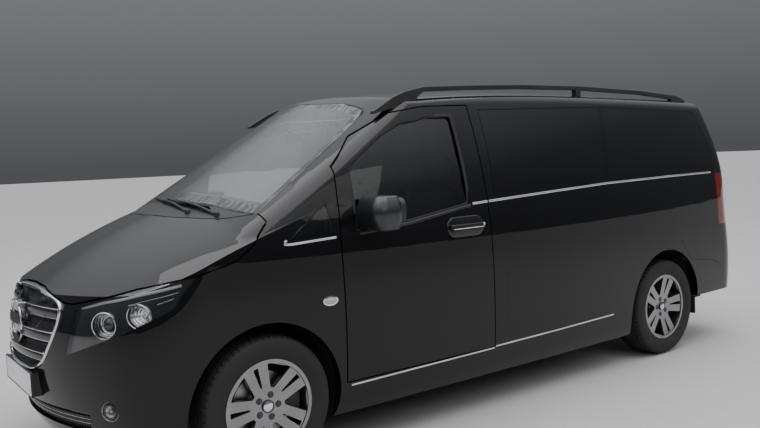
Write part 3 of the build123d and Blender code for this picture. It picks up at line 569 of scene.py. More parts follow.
@dataclass(frozen=True)
class Paint(Finish):
    """Glossy clear-coated body paint, with faint orange peel and road dust that thickens towards the sills."""

    dust: Colour = (0.06, 0.055, 0.05)
    dust_bottom: float = 0.2
    dust_top: float = 0.62
    dust_most: float = 0.10
    dust_roughness: float = 0.45

    def make(self) -> bpy.types.Material:
        """The paint: dust is laid by height, broken up by noise, and dulls the surface where it lies.

        Returns:
            The new material.
        """
        bench = self.start()
        parts = bench.fed("ShaderNodeSeparateXYZ", "Vector", bench.here())
        height = bench.fed("ShaderNodeMapRange", "Value", parts.outputs["Z"], From_Min=self.dust_bottom,
                           From_Max=self.dust_top, To_Min=self.dust_most, To_Max=0.0)
        laid = bench.fed("ShaderNodeMath", 0, height.outputs["Result"])
        laid.operation = "MULTIPLY"
        bench.tree.links.new(bench.noise(7.0, 6.0), laid.inputs[1])
        blend = bench.node("ShaderNodeMix")
        blend.data_type = "RGBA"
        blend.inputs[6].default_value = (*self.colour, 1)
        blend.inputs[7].default_value = (*self.dust, 1)
        bench.tree.links.new(laid.outputs[0], blend.inputs[0])
        dulled = bench.span(laid.outputs[0], self.roughness, self.roughness + self.dust_roughness)
        bench.surface(blend.outputs[2], dulled)
        bench.bump(bench.noise(260.0, 2.0), 0.012, 0.0004, coat=True)
        return bench.material


@dataclass(frozen=True)
class Glazing(Finish):
    """Car glass: clear or tinted, with a trace of dust in its roughness."""

    def make(self) -> bpy.types.Material:
        """The glass: a transmissive shader whose roughness rises a little in patches.

        Returns:
            The new material.
        """
        bench = self.start()
        dusty = bench.span(bench.noise(11.0, 5.0), 0.0, self.roughness * 2)
        bench.tree.links.new(dusty, bench.shader.inputs["Roughness"])
        return bench.material


@dataclass(frozen=True)
class Moulded(Finish):
    """Moulded plastic or rubber with a pebbled grain."""

    grain: float = 700.0
    depth: float = 0.25

    def make(self) -> bpy.types.Material:
        """The plastic: cells make the pebbles, and colour and roughness vary over wide patches.

        Returns:
            The new material.
        """
        bench = self.start()
        cells = bench.fed("ShaderNodeTexVoronoi", "Vector", bench.places(), Scale=self.grain)
        wide = bench.noise(5.0, 5.0)
        colour = bench.ramp(wide, 0.3, 0.75, tone(self.colour, 0.75), tone(self.colour, 1.3, 0.003))
        bench.surface(colour, bench.span(wide, self.roughness * 0.8, min(self.roughness * 1.2, 1.0)))
        bench.bump(cells.outputs["Distance"], self.depth, 0.0006)
        return bench.material


@dataclass(frozen=True)
class TurnedMetal(Finish):
    """Metal turned on a lathe: fine rings about an axis along Y through a centre."""

    centre: Pair = (0.0, 0.0)
    rings: float = 900.0
    depth: float = 0.1

    def make(self) -> bpy.types.Material:
        """The metal: its rings follow the distance from the axis, worked out from Object coordinates.

        Returns:
            The new material.
        """
        bench = self.start()
        far = bench.fed("ShaderNodeVectorMath", 0, bench.places((1, 0, 1), (-self.centre[0], 0, -self.centre[1])))
        far.operation = "LENGTH"
        ringed = bench.node("ShaderNodeTexNoise", Scale=self.rings, Detail=2.0)
        ringed.noise_dimensions = "1D"
        bench.tree.links.new(far.outputs["Value"], ringed.inputs["W"])
        rings = ringed.outputs["Fac"]
        bench.surface(bench.ramp(bench.noise(18.0), 0.35, 0.7, tone(self.colour, 0.86), self.colour),
                      bench.span(rings, self.roughness * 0.8, self.roughness * 1.25))
        bench.bump(rings, self.depth, 0.0002)
        return bench.material


@dataclass(frozen=True)
class Hide(Finish):
    """Leather with a creased grain."""

    def make(self) -> bpy.types.Material:
        """The leather: cells make the grain, and noise wears its gloss.

        Returns:
            The new material.
        """
        bench = self.start()
        cells = bench.fed("ShaderNodeTexVoronoi", "Vector", bench.places(), Scale=260.0)
        cells.feature = "DISTANCE_TO_EDGE"
        wide = bench.noise(9.0, 6.0)
        bench.surface(bench.ramp(wide, 0.3, 0.8, self.colour, tone(self.colour, 1.5, 0.004)),
                      bench.span(wide, self.roughness * 0.75, self.roughness * 1.2))
        bench.bump(cells.outputs["Distance"], 0.35, 0.0012)
        return bench.material


@dataclass(frozen=True)
class Timber(Finish):
    """Varnished boards that run along X."""

    dark: Colour = (0.07, 0.028, 0.012)

    def make(self) -> bpy.types.Material:
        """The timber: stretched noise makes the grain, darker along its lines.

        Returns:
            The new material.
        """
        bench = self.start()
        grain = bench.noise(14.0, 8.0, (0.35, 5.0, 5.0))
        bench.surface(bench.ramp(grain, 0.32, 0.68, self.dark, self.colour),
                      bench.span(grain, self.roughness * 1.2, self.roughness * 0.8))
        bench.bump(grain, 0.1, 0.0006)
        return bench.material


@dataclass(frozen=True)
class Ribbed(Finish):
    """Lamp plastic with moulded ribs across it, and painted shade low in each rib."""

    pitch: float = 140.0
    way: Point = (0.0, 0.0, 1.0)

    def make(self) -> bpy.types.Material:
        """The lens: a wave along one direction makes rounded ribs, with painted shade (a darker tone) low in each.

        Returns:
            The new material.
        """
        bench = self.start()
        wave = bench.fed("ShaderNodeTexWave", "Vector", bench.places(self.way), Scale=self.pitch, Distortion=0.0)
        # painted shade: the colour darkens towards the low of each rib, following the same wave as the bump
        colour = bench.ramp(wave.outputs["Fac"], 0.1, 0.9, tone(self.colour, 0.55), self.colour)
        bench.tree.links.new(colour, bench.shader.inputs["Base Color"])
        bench.bump(wave.outputs["Fac"], 0.25, 0.001)
        return bench.material


@dataclass
class Palette:
    """Every finish on the vehicle, made once and handed out by name."""

    made: dict[str, bpy.types.Material] = field(default_factory=dict)

    FINISHES = {
        "paint": Paint("black_paint", (0.0022, 0.0022, 0.0028), 0.5, coat=1.0, coat_roughness=0.012, coat_ior=1.4,
                       ior=1.15),
        "satin": Finish("satin_black", (0.010, 0.011, 0.014), 0.3, coat=0.5, coat_roughness=0.2),
        "trim": Moulded("black_trim", (0.014, 0.014, 0.015), 0.42),
        "gloss_black": Finish("gloss_black", (0.006, 0.006, 0.007), 0.12, coat=0.6),
        "chrome": Finish("bright_trim", (0.78, 0.78, 0.8), 0.09, metallic=1.0),
        "dark_chrome": Finish("dark_bright_trim", (0.3, 0.3, 0.315), 0.18, metallic=1.0),
        "bar_metal": Finish("bar_metal", (0.10, 0.10, 0.106), 0.22, metallic=1.0),
        "lining": Moulded("door_lining", (0.028, 0.028, 0.03), 0.6, grain=420.0, depth=0.3),
        "cream": Moulded("headliner", (0.42, 0.41, 0.39), 0.85, grain=900.0, depth=0.1),
        "clear_glass": Glazing("windscreen_glass", (0.82, 0.86, 0.86), 0.008, transmission=1.0, ior=1.5),
        "door_glass": Glazing("door_glass", (0.32, 0.33, 0.33), 0.008, transmission=1.0, ior=1.5),
        "privacy_glass": Glazing("privacy_glass", (0.02, 0.02, 0.022), 0.01, transmission=0.9, ior=1.5),
        "lamp_glass": Glazing("lamp_lens", (0.95, 0.96, 0.97), 0.006, transmission=1.0, ior=1.45),
        "red_lens": Ribbed("red_lens", (0.30, 0.004, 0.006), 0.2, coat=1.0, ior=1.3, pitch=45.0),
        "dark_red_lens": Ribbed("dark_red_lens", (0.13, 0.002, 0.003), 0.2, coat=1.0, ior=1.3, pitch=70.0,
                                way=(0, 1, 0)),
        "amber_lens": Ribbed("amber_lens", (0.75, 0.25, 0.02), 0.15, coat=0.6, transmission=0.3),
        "white_lens": Ribbed("white_lens", (0.75, 0.76, 0.76), 0.15, coat=0.6, transmission=0.2, way=(1, 0, 0)),
        "chassis": Moulded("underbody_coating", (0.018, 0.018, 0.019), 0.6, grain=260.0, depth=0.4),
        "iron": Moulded("cast_iron", (0.09, 0.08, 0.075), 0.65, metallic=0.7, grain=420.0, depth=0.5),
        "wheel_paint": Finish("wheel_paint", (0.035, 0.036, 0.038), 0.35, metallic=0.4, coat=0.5),
        "steel": Finish("steel", (0.42, 0.42, 0.43), 0.35, metallic=1.0),
        "rubber": Moulded("rubber", (0.016, 0.016, 0.017), 0.75, grain=1100.0, depth=0.12),
        "tyre": Moulded("tyre_rubber", (0.017, 0.0165, 0.016), 0.78, grain=1300.0, depth=0.1),
        "plastic": Moulded("cabin_plastic", (0.03, 0.03, 0.032), 0.55, grain=520.0),
        "leather": Hide("black_leather", (0.018, 0.017, 0.017), 0.42),
        "panel": Moulded("lining_panel", (0.2, 0.195, 0.19), 0.7, grain=420.0, depth=0.15),
        "wood": Timber("deck_boards", (0.26, 0.115, 0.045), 0.28, coat=0.5),
        "plate": Finish("blank_plate", (0.74, 0.75, 0.76), 0.3, coat=0.4),
        "mesh": Finish("grille_mesh", (0.05, 0.05, 0.052), 0.35),
        "mirror": Finish("mirror_glass", (0.86, 0.87, 0.88), 0.02, metallic=1.0),
    }

    def get(self, name: str) -> bpy.types.Material:
        """The material of a finish, made the first time it is asked for."""
        if name not in self.made:
            self.made[name] = self.FINISHES[name].make()
        return self.made[name]


def fit(palette: Palette, body: str, *parts: tuple[Shape, str, str, float]) -> None:
    """Builds shapes as pieces and hangs them on a body of the frame.

    Args:
        palette: the finishes.
        body: the body that they ride.
        parts: for each piece its shape, name, finish and the angle beyond which its edges stay crisp.
    """
    for shape, name, finish, angle in parts:
        hang(body, shape.build(name, palette.get(finish), angle=angle))


NODE_FINISHES = {
    "paint": ("body_side_left", "body_side_right", "sliding_door_right", "roof_panel", "front_wing_left",
              "front_wing_right", "bonnet", "front_bumper", "rear_bumper", "tailgate", "door_left", "door_right"),
    "gloss_black": ("grille", "headlamps"),
    "trim": ("cowl", "roof_rails"),
    "satin": ("mirror_left", "mirror_right"),
    "clear_glass": ("windscreen",),
    "door_glass": ("door_glass_left", "door_glass_right", "quarter_glass"),
    "privacy_glass": ("side_glass", "tailgate_glass"),
    "lamp_glass": ("headlamp_lenses",),
    "red_lens": ("tail_lamps",),
    "chassis": ("floor_pan", "firewall", "rear_housings", "frame_rails", "front_frame", "front_suspension",
                "rear_axle"),
    "iron": ("engine_block", "knuckle_left", "knuckle_right"),
    "steel": ("exhaust",),
    "plastic": ("fuel_tank", "dashboard", "seat_bases"),
    "rubber": ("mudflaps",),
    "panel": ("bulkhead",),
    "wood": ("load_deck",),
    "leather": ("steering_wheel", "seat_pads", "seat_backs", "headrests"),
}


def dress(node: bpy.types.Object, material: bpy.types.Material) -> None:
    """Gives a carried-over solid its finish and smooth shading over its rounded faces.

    Its facets are welded, then split again along the edges sharper than CREASE_ANGLE.

    Args:
        node: the solid.
        material: its finish.
    """
    node.data.materials.clear()
    node.data.materials.append(material)
    node.data.polygons.foreach_set("use_smooth", np.ones(len(node.data.polygons), bool))
    weld = node.modifiers.new("weld", "WELD")
    weld.merge_threshold = WELD_DISTANCE
    split = node.modifiers.new("split", "EDGE_SPLIT")
    split.split_angle = math.radians(CREASE_ANGLE)


def dress_nodes(frame: dict, palette: Palette) -> None:
    """Dresses each carried-over solid, apart from the rims and discs, which their wheels dress.

    Args:
        palette: the finishes.
    """
    for finish, nodes in NODE_FINISHES.items():
        for name in nodes:
            dress(frame["nodes"][name], palette.get(finish))
    back_lamps(frame["nodes"]["tail_lamps"].data, palette)


def back_lamps(mesh: bpy.types.Mesh, palette: Palette) -> None:
    """Gives the tail lamps dark backs: the faces that look towards the middle of the load space.

    Args:
        mesh: the tail lamps' mesh.
        palette: the finishes.
    """
    mesh.materials.append(palette.get("lining"))
    normals, centres = face_vectors(mesh)
    outward = np.sum(normals[:, :2] * (centres[:, :2] - np.array(LOAD_MIDDLE)), axis=1)
    mesh.polygons.foreach_set("material_index", np.where(outward < 0, 1, 0).astype(np.int32))


@dataclass
class Wheel:
    """One road wheel: tyre with its tread, rim and brake disc finishes, cap and bolts."""

    axle: Axle
    side: Side
    tread_radius: float = 0.3395
    tread_half_width: float = 0.0785
    tread_crown: float = 0.0045
    shoulder_radius: float = 0.322
    shoulder_top_radius: float = 0.335
    width: float = 0.225
    rim_radius: float = 0.2286
    bead_radius: float = 0.216
    bead_half_width: float = 0.091
    wall_half_width: float = 0.094
    wall_rib: float = 0.0006
    pitches: int = 62
    grooves: tuple[float, ...] = (-0.06, -0.02, 0.02, 0.06)
    groove_width: float = 0.008
    groove_depth: float = 0.007
    block_depth: float = 0.0055
    sipe_depth: float = 0.0025
    rib_half_width: float = 0.062
    slant: float = 0.06
    slant_reach: float = 0.08
    hub_face_radius: float = 0.040
    bolt_circle: float = 0.056
    bolts: int = 5
    machined_depth: float = 0.045

    @property
    def body(self) -> str:
        """The frame body that the wheel turns with."""
        return f"wheel_{self.axle.value}_{self.side.word}"

    @property
    def label(self) -> str:
        """End of the names of this wheel's pieces."""
        return f"{self.axle.value}_{self.side.word}"

    def centre(self) -> Array:
        """Middle of the tyre, from the frame."""
        low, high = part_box(f"tyre_{self.label}")
        return (np.array(low) + np.array(high)) / 2

    def section(self) -> tuple[Array, Array, Array]:
        """Half round the tyre's section, from one bead over the tread to the other.

        Returns:
            Distance across, radius and a mask that is 1 where cross grooves cut, each of n points.
            The side wall bulges as half a sine from bead to shoulder, with shallow ribs, and the tread
            is a flat arc cut by grooves with upright walls.
        """
        half = self.width / 2
        t = np.linspace(0, 1, 30)
        wall_r = self.rim_radius + (self.shoulder_radius - self.rim_radius) * t
        wall_y = self.wall_half_width + (half - self.wall_half_width) * np.sin(np.pi * (0.04 + 0.72 * t))
        wall_y += self.wall_rib * (np.sin(t * 60) > 0.6)
        rise = np.linspace(0, 1, 6)[1:]
        shoulder_y = wall_y[-1] + (self.tread_half_width - wall_y[-1]) * rise
        tall = self.shoulder_top_radius - self.shoulder_radius
        shoulder_r = self.shoulder_radius + tall * np.sin(rise * np.pi / 2)
        edges = sorted(e for g in self.grooves for e in (g - self.groove_width / 2, g + self.groove_width / 2))
        tread_y, deep = [], []
        for y in np.sort(np.concatenate([[-0.074, 0.074], edges, [-0.04, 0.0, 0.04]])):
            inside = any(abs(y - g) < self.groove_width / 2 + 1e-6 for g in self.grooves)
            if inside:
                opening = any(abs(y - (g - self.groove_width / 2)) < 1e-6 for g in self.grooves)
                tread_y += [y, y + 1e-4] if opening else [y - 1e-4, y]
                deep += [0, 1] if opening else [1, 0]
            else:
                tread_y.append(y)
                deep.append(0)
        tread_y, deep = np.array(tread_y), np.array(deep, float)
        crown = self.tread_crown * (tread_y / self.tread_half_width) ** 2
        tread_r = self.tread_radius - crown - self.groove_depth * deep
        across = np.concatenate([-wall_y, -shoulder_y, tread_y, shoulder_y[::-1], wall_y[::-1]])
        radius = np.concatenate([wall_r, shoulder_r, tread_r, shoulder_r[::-1], wall_r[::-1]])
        cut = np.concatenate([0 * wall_y, [0, 0.5, 1, 1, 1], 1 - deep, [1, 1, 1, 0.5, 0], 0 * wall_y])
        return across, radius, cut

    def tyre(self, palette: Palette) -> bpy.types.Object:
        """Tyre surface: the section turned about the axle, columns slanted across the tread, cut by cross grooves.

        In each pitch four columns make a groove 0.13 of the pitch wide, full depth on the shoulders and
        a thin sipe on the middle ribs, and the inside of the bead closes the ring.

        Args:
            palette: the finishes.

        Returns:
            The tyre, which stands for its node.
        """
        across, radius, cut = self.section()
        across = np.concatenate([across, [self.bead_half_width, -self.bead_half_width]])
        radius = np.concatenate([radius, [self.bead_radius, self.bead_radius]])
        cut = np.concatenate([cut, [0, 0]])
        fraction = np.array([0.0, 0.03, 0.13, 0.16])
        mask = np.array([0.0, 1.0, 1.0, 0.0])
        angle = ((np.arange(self.pitches)[:, None] + fraction) / self.pitches * 2 * np.pi).ravel()
        mask = np.tile(mask, self.pitches)
        slant = self.slant * np.sin(np.clip(across / self.slant_reach, -1, 1) * np.pi)
        depth = np.where(np.abs(across) > self.rib_half_width, self.block_depth, self.sipe_depth) * cut
        r = radius[:, None] - depth[:, None] * mask[None, :]
        a = angle[None, :] + slant[:, None] * (cut > 0)[:, None]
        x0, y0, z0 = self.centre()
        grid = np.stack([x0 + r * np.cos(a), y0 + across[:, None] + 0 * a, z0 + r * np.sin(a)], axis=-1)
        made = Shape().grid(grid, closed_rows=True, closed_columns=True).build(
            f"tyre_tread_{self.label}", palette.get("tyre"), angle=28)
        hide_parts(f"tyre_{self.label}")
        return made

    def fittings(self, frame: dict, palette: Palette) -> list[bpy.types.Object]:
        """Dark wheel bolts with hexagon heads in wells, and a plain bright cap in a dark ring, as turned profiles.

        Args:
            palette: the finishes.

        Returns:
            The cap, then the bolts with the ring.
        """
        x0, _, z0 = self.centre()
        s = self.side.value
        outward = s * LEFTWARDS
        around = np.array([x0, z0]) + self.hub_face_radius * circle(10, 0.1)
        faces, _ = Skin(frame, f"rim_{self.label}").from_side(self.side, around)
        hub = s * np.max(faces[:, 1] * s)
        bright, dark = Shape(), Shape()
        foot = np.array([x0, hub + s * 0.004, z0])
        dark.turned(ring_profile(0.0285, 0.004, 0.0022, 0.0022), foot, outward, 48, ring=True)
        cap = np.array([[0.0, 0.0065], [0.010, 0.006], [0.020, 0.0045], [0.027, 0.002], [0.028, -0.004]])
        bright.turned(cap, foot, outward, 40)
        head = np.array([[0.0, 0.014], [0.0075, 0.014], [0.009, 0.012], [0.0098, 0.0], [0.0098, -0.012]])
        well = np.array([[0.0, 0.0006], [0.0125, 0.0006], [0.0145, 0.0016], [0.0165, 0.0004], [0.0165, -0.004]])
        for k in range(self.bolts):
            turn = (k + 0.5) / self.bolts * 2 * np.pi + (0.2 * np.pi if self.axle is Axle.REAR else 0)
            at = np.array([x0 + self.bolt_circle * np.cos(turn), hub, z0 - self.bolt_circle * np.sin(turn)])
            dark.turned(head, at - outward * 0.010, outward, 6)
            dark.turned(well, at + outward * 0.001, outward, 28)
        return [bright.build(f"wheel_cap_{self.label}", palette.get("chrome"), angle=25),
                dark.build(f"wheel_bolts_{self.label}", palette.get("wheel_paint"), angle=25)]

    def pockets(self, mesh: bpy.types.Mesh, palette: Palette) -> None:
        """Leaves the machined metal on the faces that look outwards and paints the walls between the spokes.

        Args:
            mesh: the rim's mesh, with its metal as first material.
            palette: the finishes.
        """
        mesh.materials.append(palette.get("wheel_paint"))
        normals, centres = face_vectors(mesh)
        outward = normals[:, 1] * self.side.value
        away = centres[:, 1] * self.side.value
        machined = (outward > 0.45) & (away > away.max() - self.machined_depth)
        mesh.polygons.foreach_set("material_index", np.where(machined, 0, 1).astype(np.int32))

    def build(self, frame: dict, palette: Palette) -> None:
        """Makes and dresses the whole wheel.

        Args:
            palette: the finishes.
        """
        x0, _, z0 = self.centre()
        rim = TurnedMetal(f"machined_alloy_{self.label}", (0.33, 0.33, 0.335), 0.26, metallic=1.0,
                          centre=(x0, z0), rings=1400.0, coat=0.3).make()
        disc = TurnedMetal(f"brake_steel_{self.label}", (0.36, 0.35, 0.34), 0.34, metallic=1.0,
                           centre=(x0, z0), rings=2600.0, depth=0.25).make()
        dress(frame["nodes"][f"rim_{self.label}"], rim)
        dress(frame["nodes"][f"brake_disc_{self.label}"], disc)
        self.pockets(frame["nodes"][f"rim_{self.label}"].data, palette)
        hang(self.body, self.tyre(palette), *self.fittings(frame, palette))


# Laying trim and plaques


def inset(outline: Array, distance: float) -> Array:
    """Closed outline (n, 2) moved inwards by a distance, each corner along the mean of its two runs' normals.

    Args:
        outline: corners in order, either way round.
        distance: how far the outline moves towards its inside.

    Returns:
        Array (n, 2).
    """
    before = unit(outline - np.roll(outline, 1, 0))
    after = unit(np.roll(outline, -1, 0) - outline)
    area = np.sum(outline[:, 0] * np.roll(outline[:, 1], -1) - np.roll(outline[:, 0], -1) * outline[:, 1])
    turn = 1.0 if area > 0 else -1.0
    mean = unit(before + after)
    inward = turn * np.stack([-mean[:, 1], mean[:, 0]], axis=-1)
    return outline + inward * distance / np.clip(np.sum(mean * after, axis=1), 0.5, 1.0)[:, None]


def rounded_rect(width: float, height: float, radius: float) -> Array:
    """Outline of a rectangle with round corners, centred on the origin.

    Args:
        width: size along the first axis.
        height: size along the second axis.
        radius: corner radius, at most half of either size.

    Returns:
        Array (n, 2), with RECT_CORNER_POINTS points round each corner.
    """
    radius = min(radius, width / 2 - 1e-4, height / 2 - 1e-4)
    a = np.linspace(0, np.pi / 2, RECT_CORNER_POINTS)
    corners = [(width / 2 - radius, height / 2 - radius, 0), (radius - width / 2, height / 2 - radius, 1),
               (radius - width / 2, radius - height / 2, 2), (width / 2 - radius, radius - height / 2, 3)]
    return np.vstack([np.stack([x + radius * np.cos(a + q * np.pi / 2), y + radius * np.sin(a + q * np.pi / 2)], -1)
                      for x, y, q in corners])


def plaque(centre: Array, across: Array, out: Array, size: Pair, radius: float,
           profile: tuple[Pair, ...]) -> Array:
    """Rounded rectangular plaque: rings of a rounded rectangle, each inset and lifted by the profile.

    Args:
        centre: middle of its foot.
        across: direction of its width.
        out: direction that it faces.
        size: width and height.
        radius: corner radius.
        profile: pairs of inset and lift from the rim inwards; the last ring is drawn to the middle.

    Returns:
        Grid (rings, n, 3), closed along its columns.
    """
    out = unit(np.asarray(out, float))
    across = unit(np.asarray(across, float) - out * np.dot(across, out))
    up = np.cross(out, across)
    rings = []
    for step, lift in profile:
        ring = rounded_rect(size[0] - 2 * step, size[1] - 2 * step, max(radius - step, 0.0005))
        rings.append(np.asarray(centre) + ring[:, :1] * across + ring[:, 1:] * up + lift * out)
    middle = np.asarray(centre) + profile[-1][1] * out + 0 * rings[-1]
    return np.stack([*rings, middle])


def domed(inset_by: float, lift: float, sink: float = 0.003) -> tuple[Pair, ...]:
    """Profile of a plaque with a soft edge: from below the surface, round a quarter circle, to a flat top."""
    a = np.linspace(0, np.pi / 2, 5)
    rim = [(inset_by * (1 - math.cos(t)), lift * math.sin(t)) for t in a]
    return ((0.0, -sink), *rim)


def side_label(name: str, side: Side, sides: tuple[Side, ...]) -> str:
    """Name of a piece, ending in its side's word where there is one on each side."""
    return name if len(sides) == 1 else f"{name}_{side.word}"


@dataclass(frozen=True)
class TrimLine:
    """A line of trim on one or both sides, given in side view (x, z) or, with view front or behind, (y, z)."""

    name: str
    body: str
    nodes: tuple[str, ...]
    points: tuple[Pair, ...]
    width: float
    height: float
    finish: str
    view: str = "side"
    closed: bool = False
    radius: float = 0.03
    sides: tuple[Side, ...] = (Side.LEFT, Side.RIGHT)


DOOR_PANE = ((1.135, 1.122), (1.114, 1.452), (0.877, 1.606), (0.720, 1.674), (0.534, 1.708), (0.347, 1.716),
             (0.347, 1.208), (0.791, 1.145))
QUARTER_PANE = ((1.280, 1.114), (1.290, 1.288), (1.540, 1.106))
WINDSCREEN = ((-0.785, 1.240), (-0.400, 1.286), (0.0, 1.306), (0.400, 1.286), (0.785, 1.240), (0.730, 1.440),
              (0.660, 1.640), (0.600, 1.762), (0.400, 1.812), (0.0, 1.838), (-0.400, 1.812), (-0.600, 1.762),
              (-0.660, 1.640), (-0.730, 1.440))
GRILLE_SHIELD = ((-0.212, 0.552), (0.212, 0.552), (0.330, 0.600), (0.420, 0.740), (0.455, 0.886), (0.330, 0.916),
                 (0.160, 0.937), (0.0, 0.943), (-0.160, 0.937), (-0.330, 0.916), (-0.455, 0.886),
                 (-0.420, 0.740), (-0.330, 0.600))
REAR_PANE = ((-0.640, 1.190), (0.640, 1.190), (0.600, 1.500), (0.540, 1.700), (-0.540, 1.700), (-0.600, 1.500))
FLANK = {Side.LEFT: ("body_side_left", "side_glass"),
         Side.RIGHT: ("body_side_right", "sliding_door_right", "side_glass")}

TRIM_LINES = (
    TrimLine("belt_trim_door", "door_{}_body", ("door_{}",), ((0.328, 1.2085), (0.270, 1.2105), (0.210, 1.213)),
             0.014, 0.005, "chrome"),
    TrimLine("belt_trim", "chassis", ("flank",), ((0.200, 1.2135), (-0.300, 1.2345), (-0.900, 1.2575),
                                                 (-1.600, 1.2675), (-2.171, 1.272)), 0.014, 0.005, "chrome"),
    TrimLine("sill_trim_front", "chassis", ("flank",), ((1.212, 0.351), (0.800, 0.357), (0.209, 0.3625)),
             0.012, 0.004, "chrome"),
    TrimLine("sill_trim_rear", "chassis", ("flank",), ((0.201, 0.3705), (-0.350, 0.376), (-0.902, 0.385)),
             0.012, 0.004, "chrome"),
    TrimLine("quarter_trim", "chassis", ("flank", "front_wing_{}", "quarter_glass"),
             ((1.262, 1.107), (1.400, 1.101), (1.520, 1.096), (1.552, 1.098), (1.556, 1.108), (1.540, 1.116)),
             0.012, 0.004, "chrome", radius=0.008),
    TrimLine("bumper_seam", "chassis", ("flank", "rear_bumper"),
             ((-1.722, 0.798), (-1.832, 0.652), (-1.992, 0.627), (-2.157, 0.604), (-2.258, 0.548)),
             0.005, 0.0006, "rubber", radius=0.02),
    TrimLine("lamp_fin_upper", "chassis", ("headlamps",), ((2.075, 0.938), (2.180, 0.915), (2.262, 0.893)),
             0.005, 0.006, "dark_chrome", radius=0.01),
    TrimLine("lamp_fin_lower", "chassis", ("headlamps",), ((2.095, 0.912), (2.165, 0.893)),
             0.005, 0.006, "dark_chrome", radius=0.01),
    TrimLine("filler_flap", "chassis", ("flank",), ((0.194, 0.805), (0.095, 0.802), (0.090, 0.505), (0.194, 0.500)),
             0.004, 0.0006, "rubber", radius=0.03, sides=(Side.LEFT,)),
    TrimLine("door_seal", "door_{}_body", ("door_{}", "door_glass_{}"), DOOR_PANE, 0.020, 0.0035, "rubber",
             closed=True),
    TrimLine("belt_weatherstrip", "door_{}_body", ("door_{}", "door_glass_{}"), ((1.120, 1.113), (0.791, 1.136),
                                                                               (0.345, 1.199)), 0.018, 0.008, "trim"),
    TrimLine("quarter_seal", "chassis", ("flank", "quarter_glass"), QUARTER_PANE, 0.012, 0.003, "rubber",
             closed=True),
    TrimLine("windscreen_seal", "chassis", ("windscreen", "cowl", "roof_panel", "body_side_left",
                                           "body_side_right"), WINDSCREEN, 0.012, 0.002, "rubber", view="front",
             closed=True, sides=(Side.LEFT,)),
    TrimLine("rear_pane_seal", "tailgate_body", ("tailgate", "tailgate_glass"), REAR_PANE, 0.012, 0.002, "rubber",
             view="behind", closed=True, sides=(Side.LEFT,)),
    TrimLine("tailgate_trim", "tailgate_body", ("tailgate",), ((-0.330, 0.935), (0.0, 0.940), (0.330, 0.935)),
             0.026, 0.009, "chrome", view="behind", sides=(Side.LEFT,)),
    TrimLine("bumper_pad", "chassis", ("rear_bumper",), ((-0.700, 0.520), (0.0, 0.522), (0.700, 0.520)),
             0.036, 0.006, "trim", view="behind", sides=(Side.LEFT,)),
)


def settled(values: Array, closed: bool, reach: int = 4) -> Array:
    """Values along a line with short jumps taken out: a running median, then a running mean, over 2 reach + 1 points.

    Args:
        values: array (n, k).
        closed: whether the line is a loop.
        reach: points taken on each side.

    Returns:
        Array (n, k).
    """
    for middle in (np.median, np.mean):
        padded = np.pad(values, ((reach, reach), (0, 0)), mode="wrap" if closed else "edge")
        windows = np.stack([padded[k:k + len(values)] for k in range(2 * reach + 1)])
        values = middle(windows, axis=0)
    return values


@dataclass
class Trims:
    """All lines of trim and seals that lie on the skin."""

    frame: dict
    palette: Palette
    step: float = 0.012
    skins: dict[tuple[str, ...], Skin] = field(default_factory=dict)

    def skin(self, nodes: tuple[str, ...], side: Side) -> Skin:
        """The search tree of some nodes, with the side's word in their names, made once."""
        names = tuple(n.format(side.word) for n in nodes if n != "flank")
        names += FLANK[side] if "flank" in nodes else ()
        if names not in self.skins:
            self.skins[names] = Skin(self.frame, *names)
        return self.skins[names]

    def line(self, spec: TrimLine, side: Side) -> None:
        """One line of trim: its outline is rounded, cast on the skin, and a half-round profile is carried along.

        Args:
            spec: the line.
            side: the side it is laid on.
        """
        path = resample(rounded(np.array(spec.points), spec.radius, spec.closed), self.step, spec.closed)
        skin = self.skin(spec.nodes, side)
        cast = {"side": lambda p: skin.from_side(side, p), "front": skin.from_front, "behind": skin.from_behind}
        points, normals = cast[spec.view](path)
        depth = 1 if spec.view == "side" else 0
        points[:, depth:depth + 1] = settled(points[:, depth:depth + 1], spec.closed)
        normals = unit(settled(normals, spec.closed))
        made = Shape().grid(strip(points, normals, spec.width, spec.height, closed=spec.closed),
                            closed_rows=spec.closed, closed_columns=True, caps=not spec.closed)
        label = side_label(spec.name, side, spec.sides)
        fit(self.palette, spec.body.format(side.word), (made, label, spec.finish, 50))

    def build(self) -> None:
        """Lays every line on its sides."""
        for spec in TRIM_LINES:
            for side in spec.sides:
                self.line(spec, side)


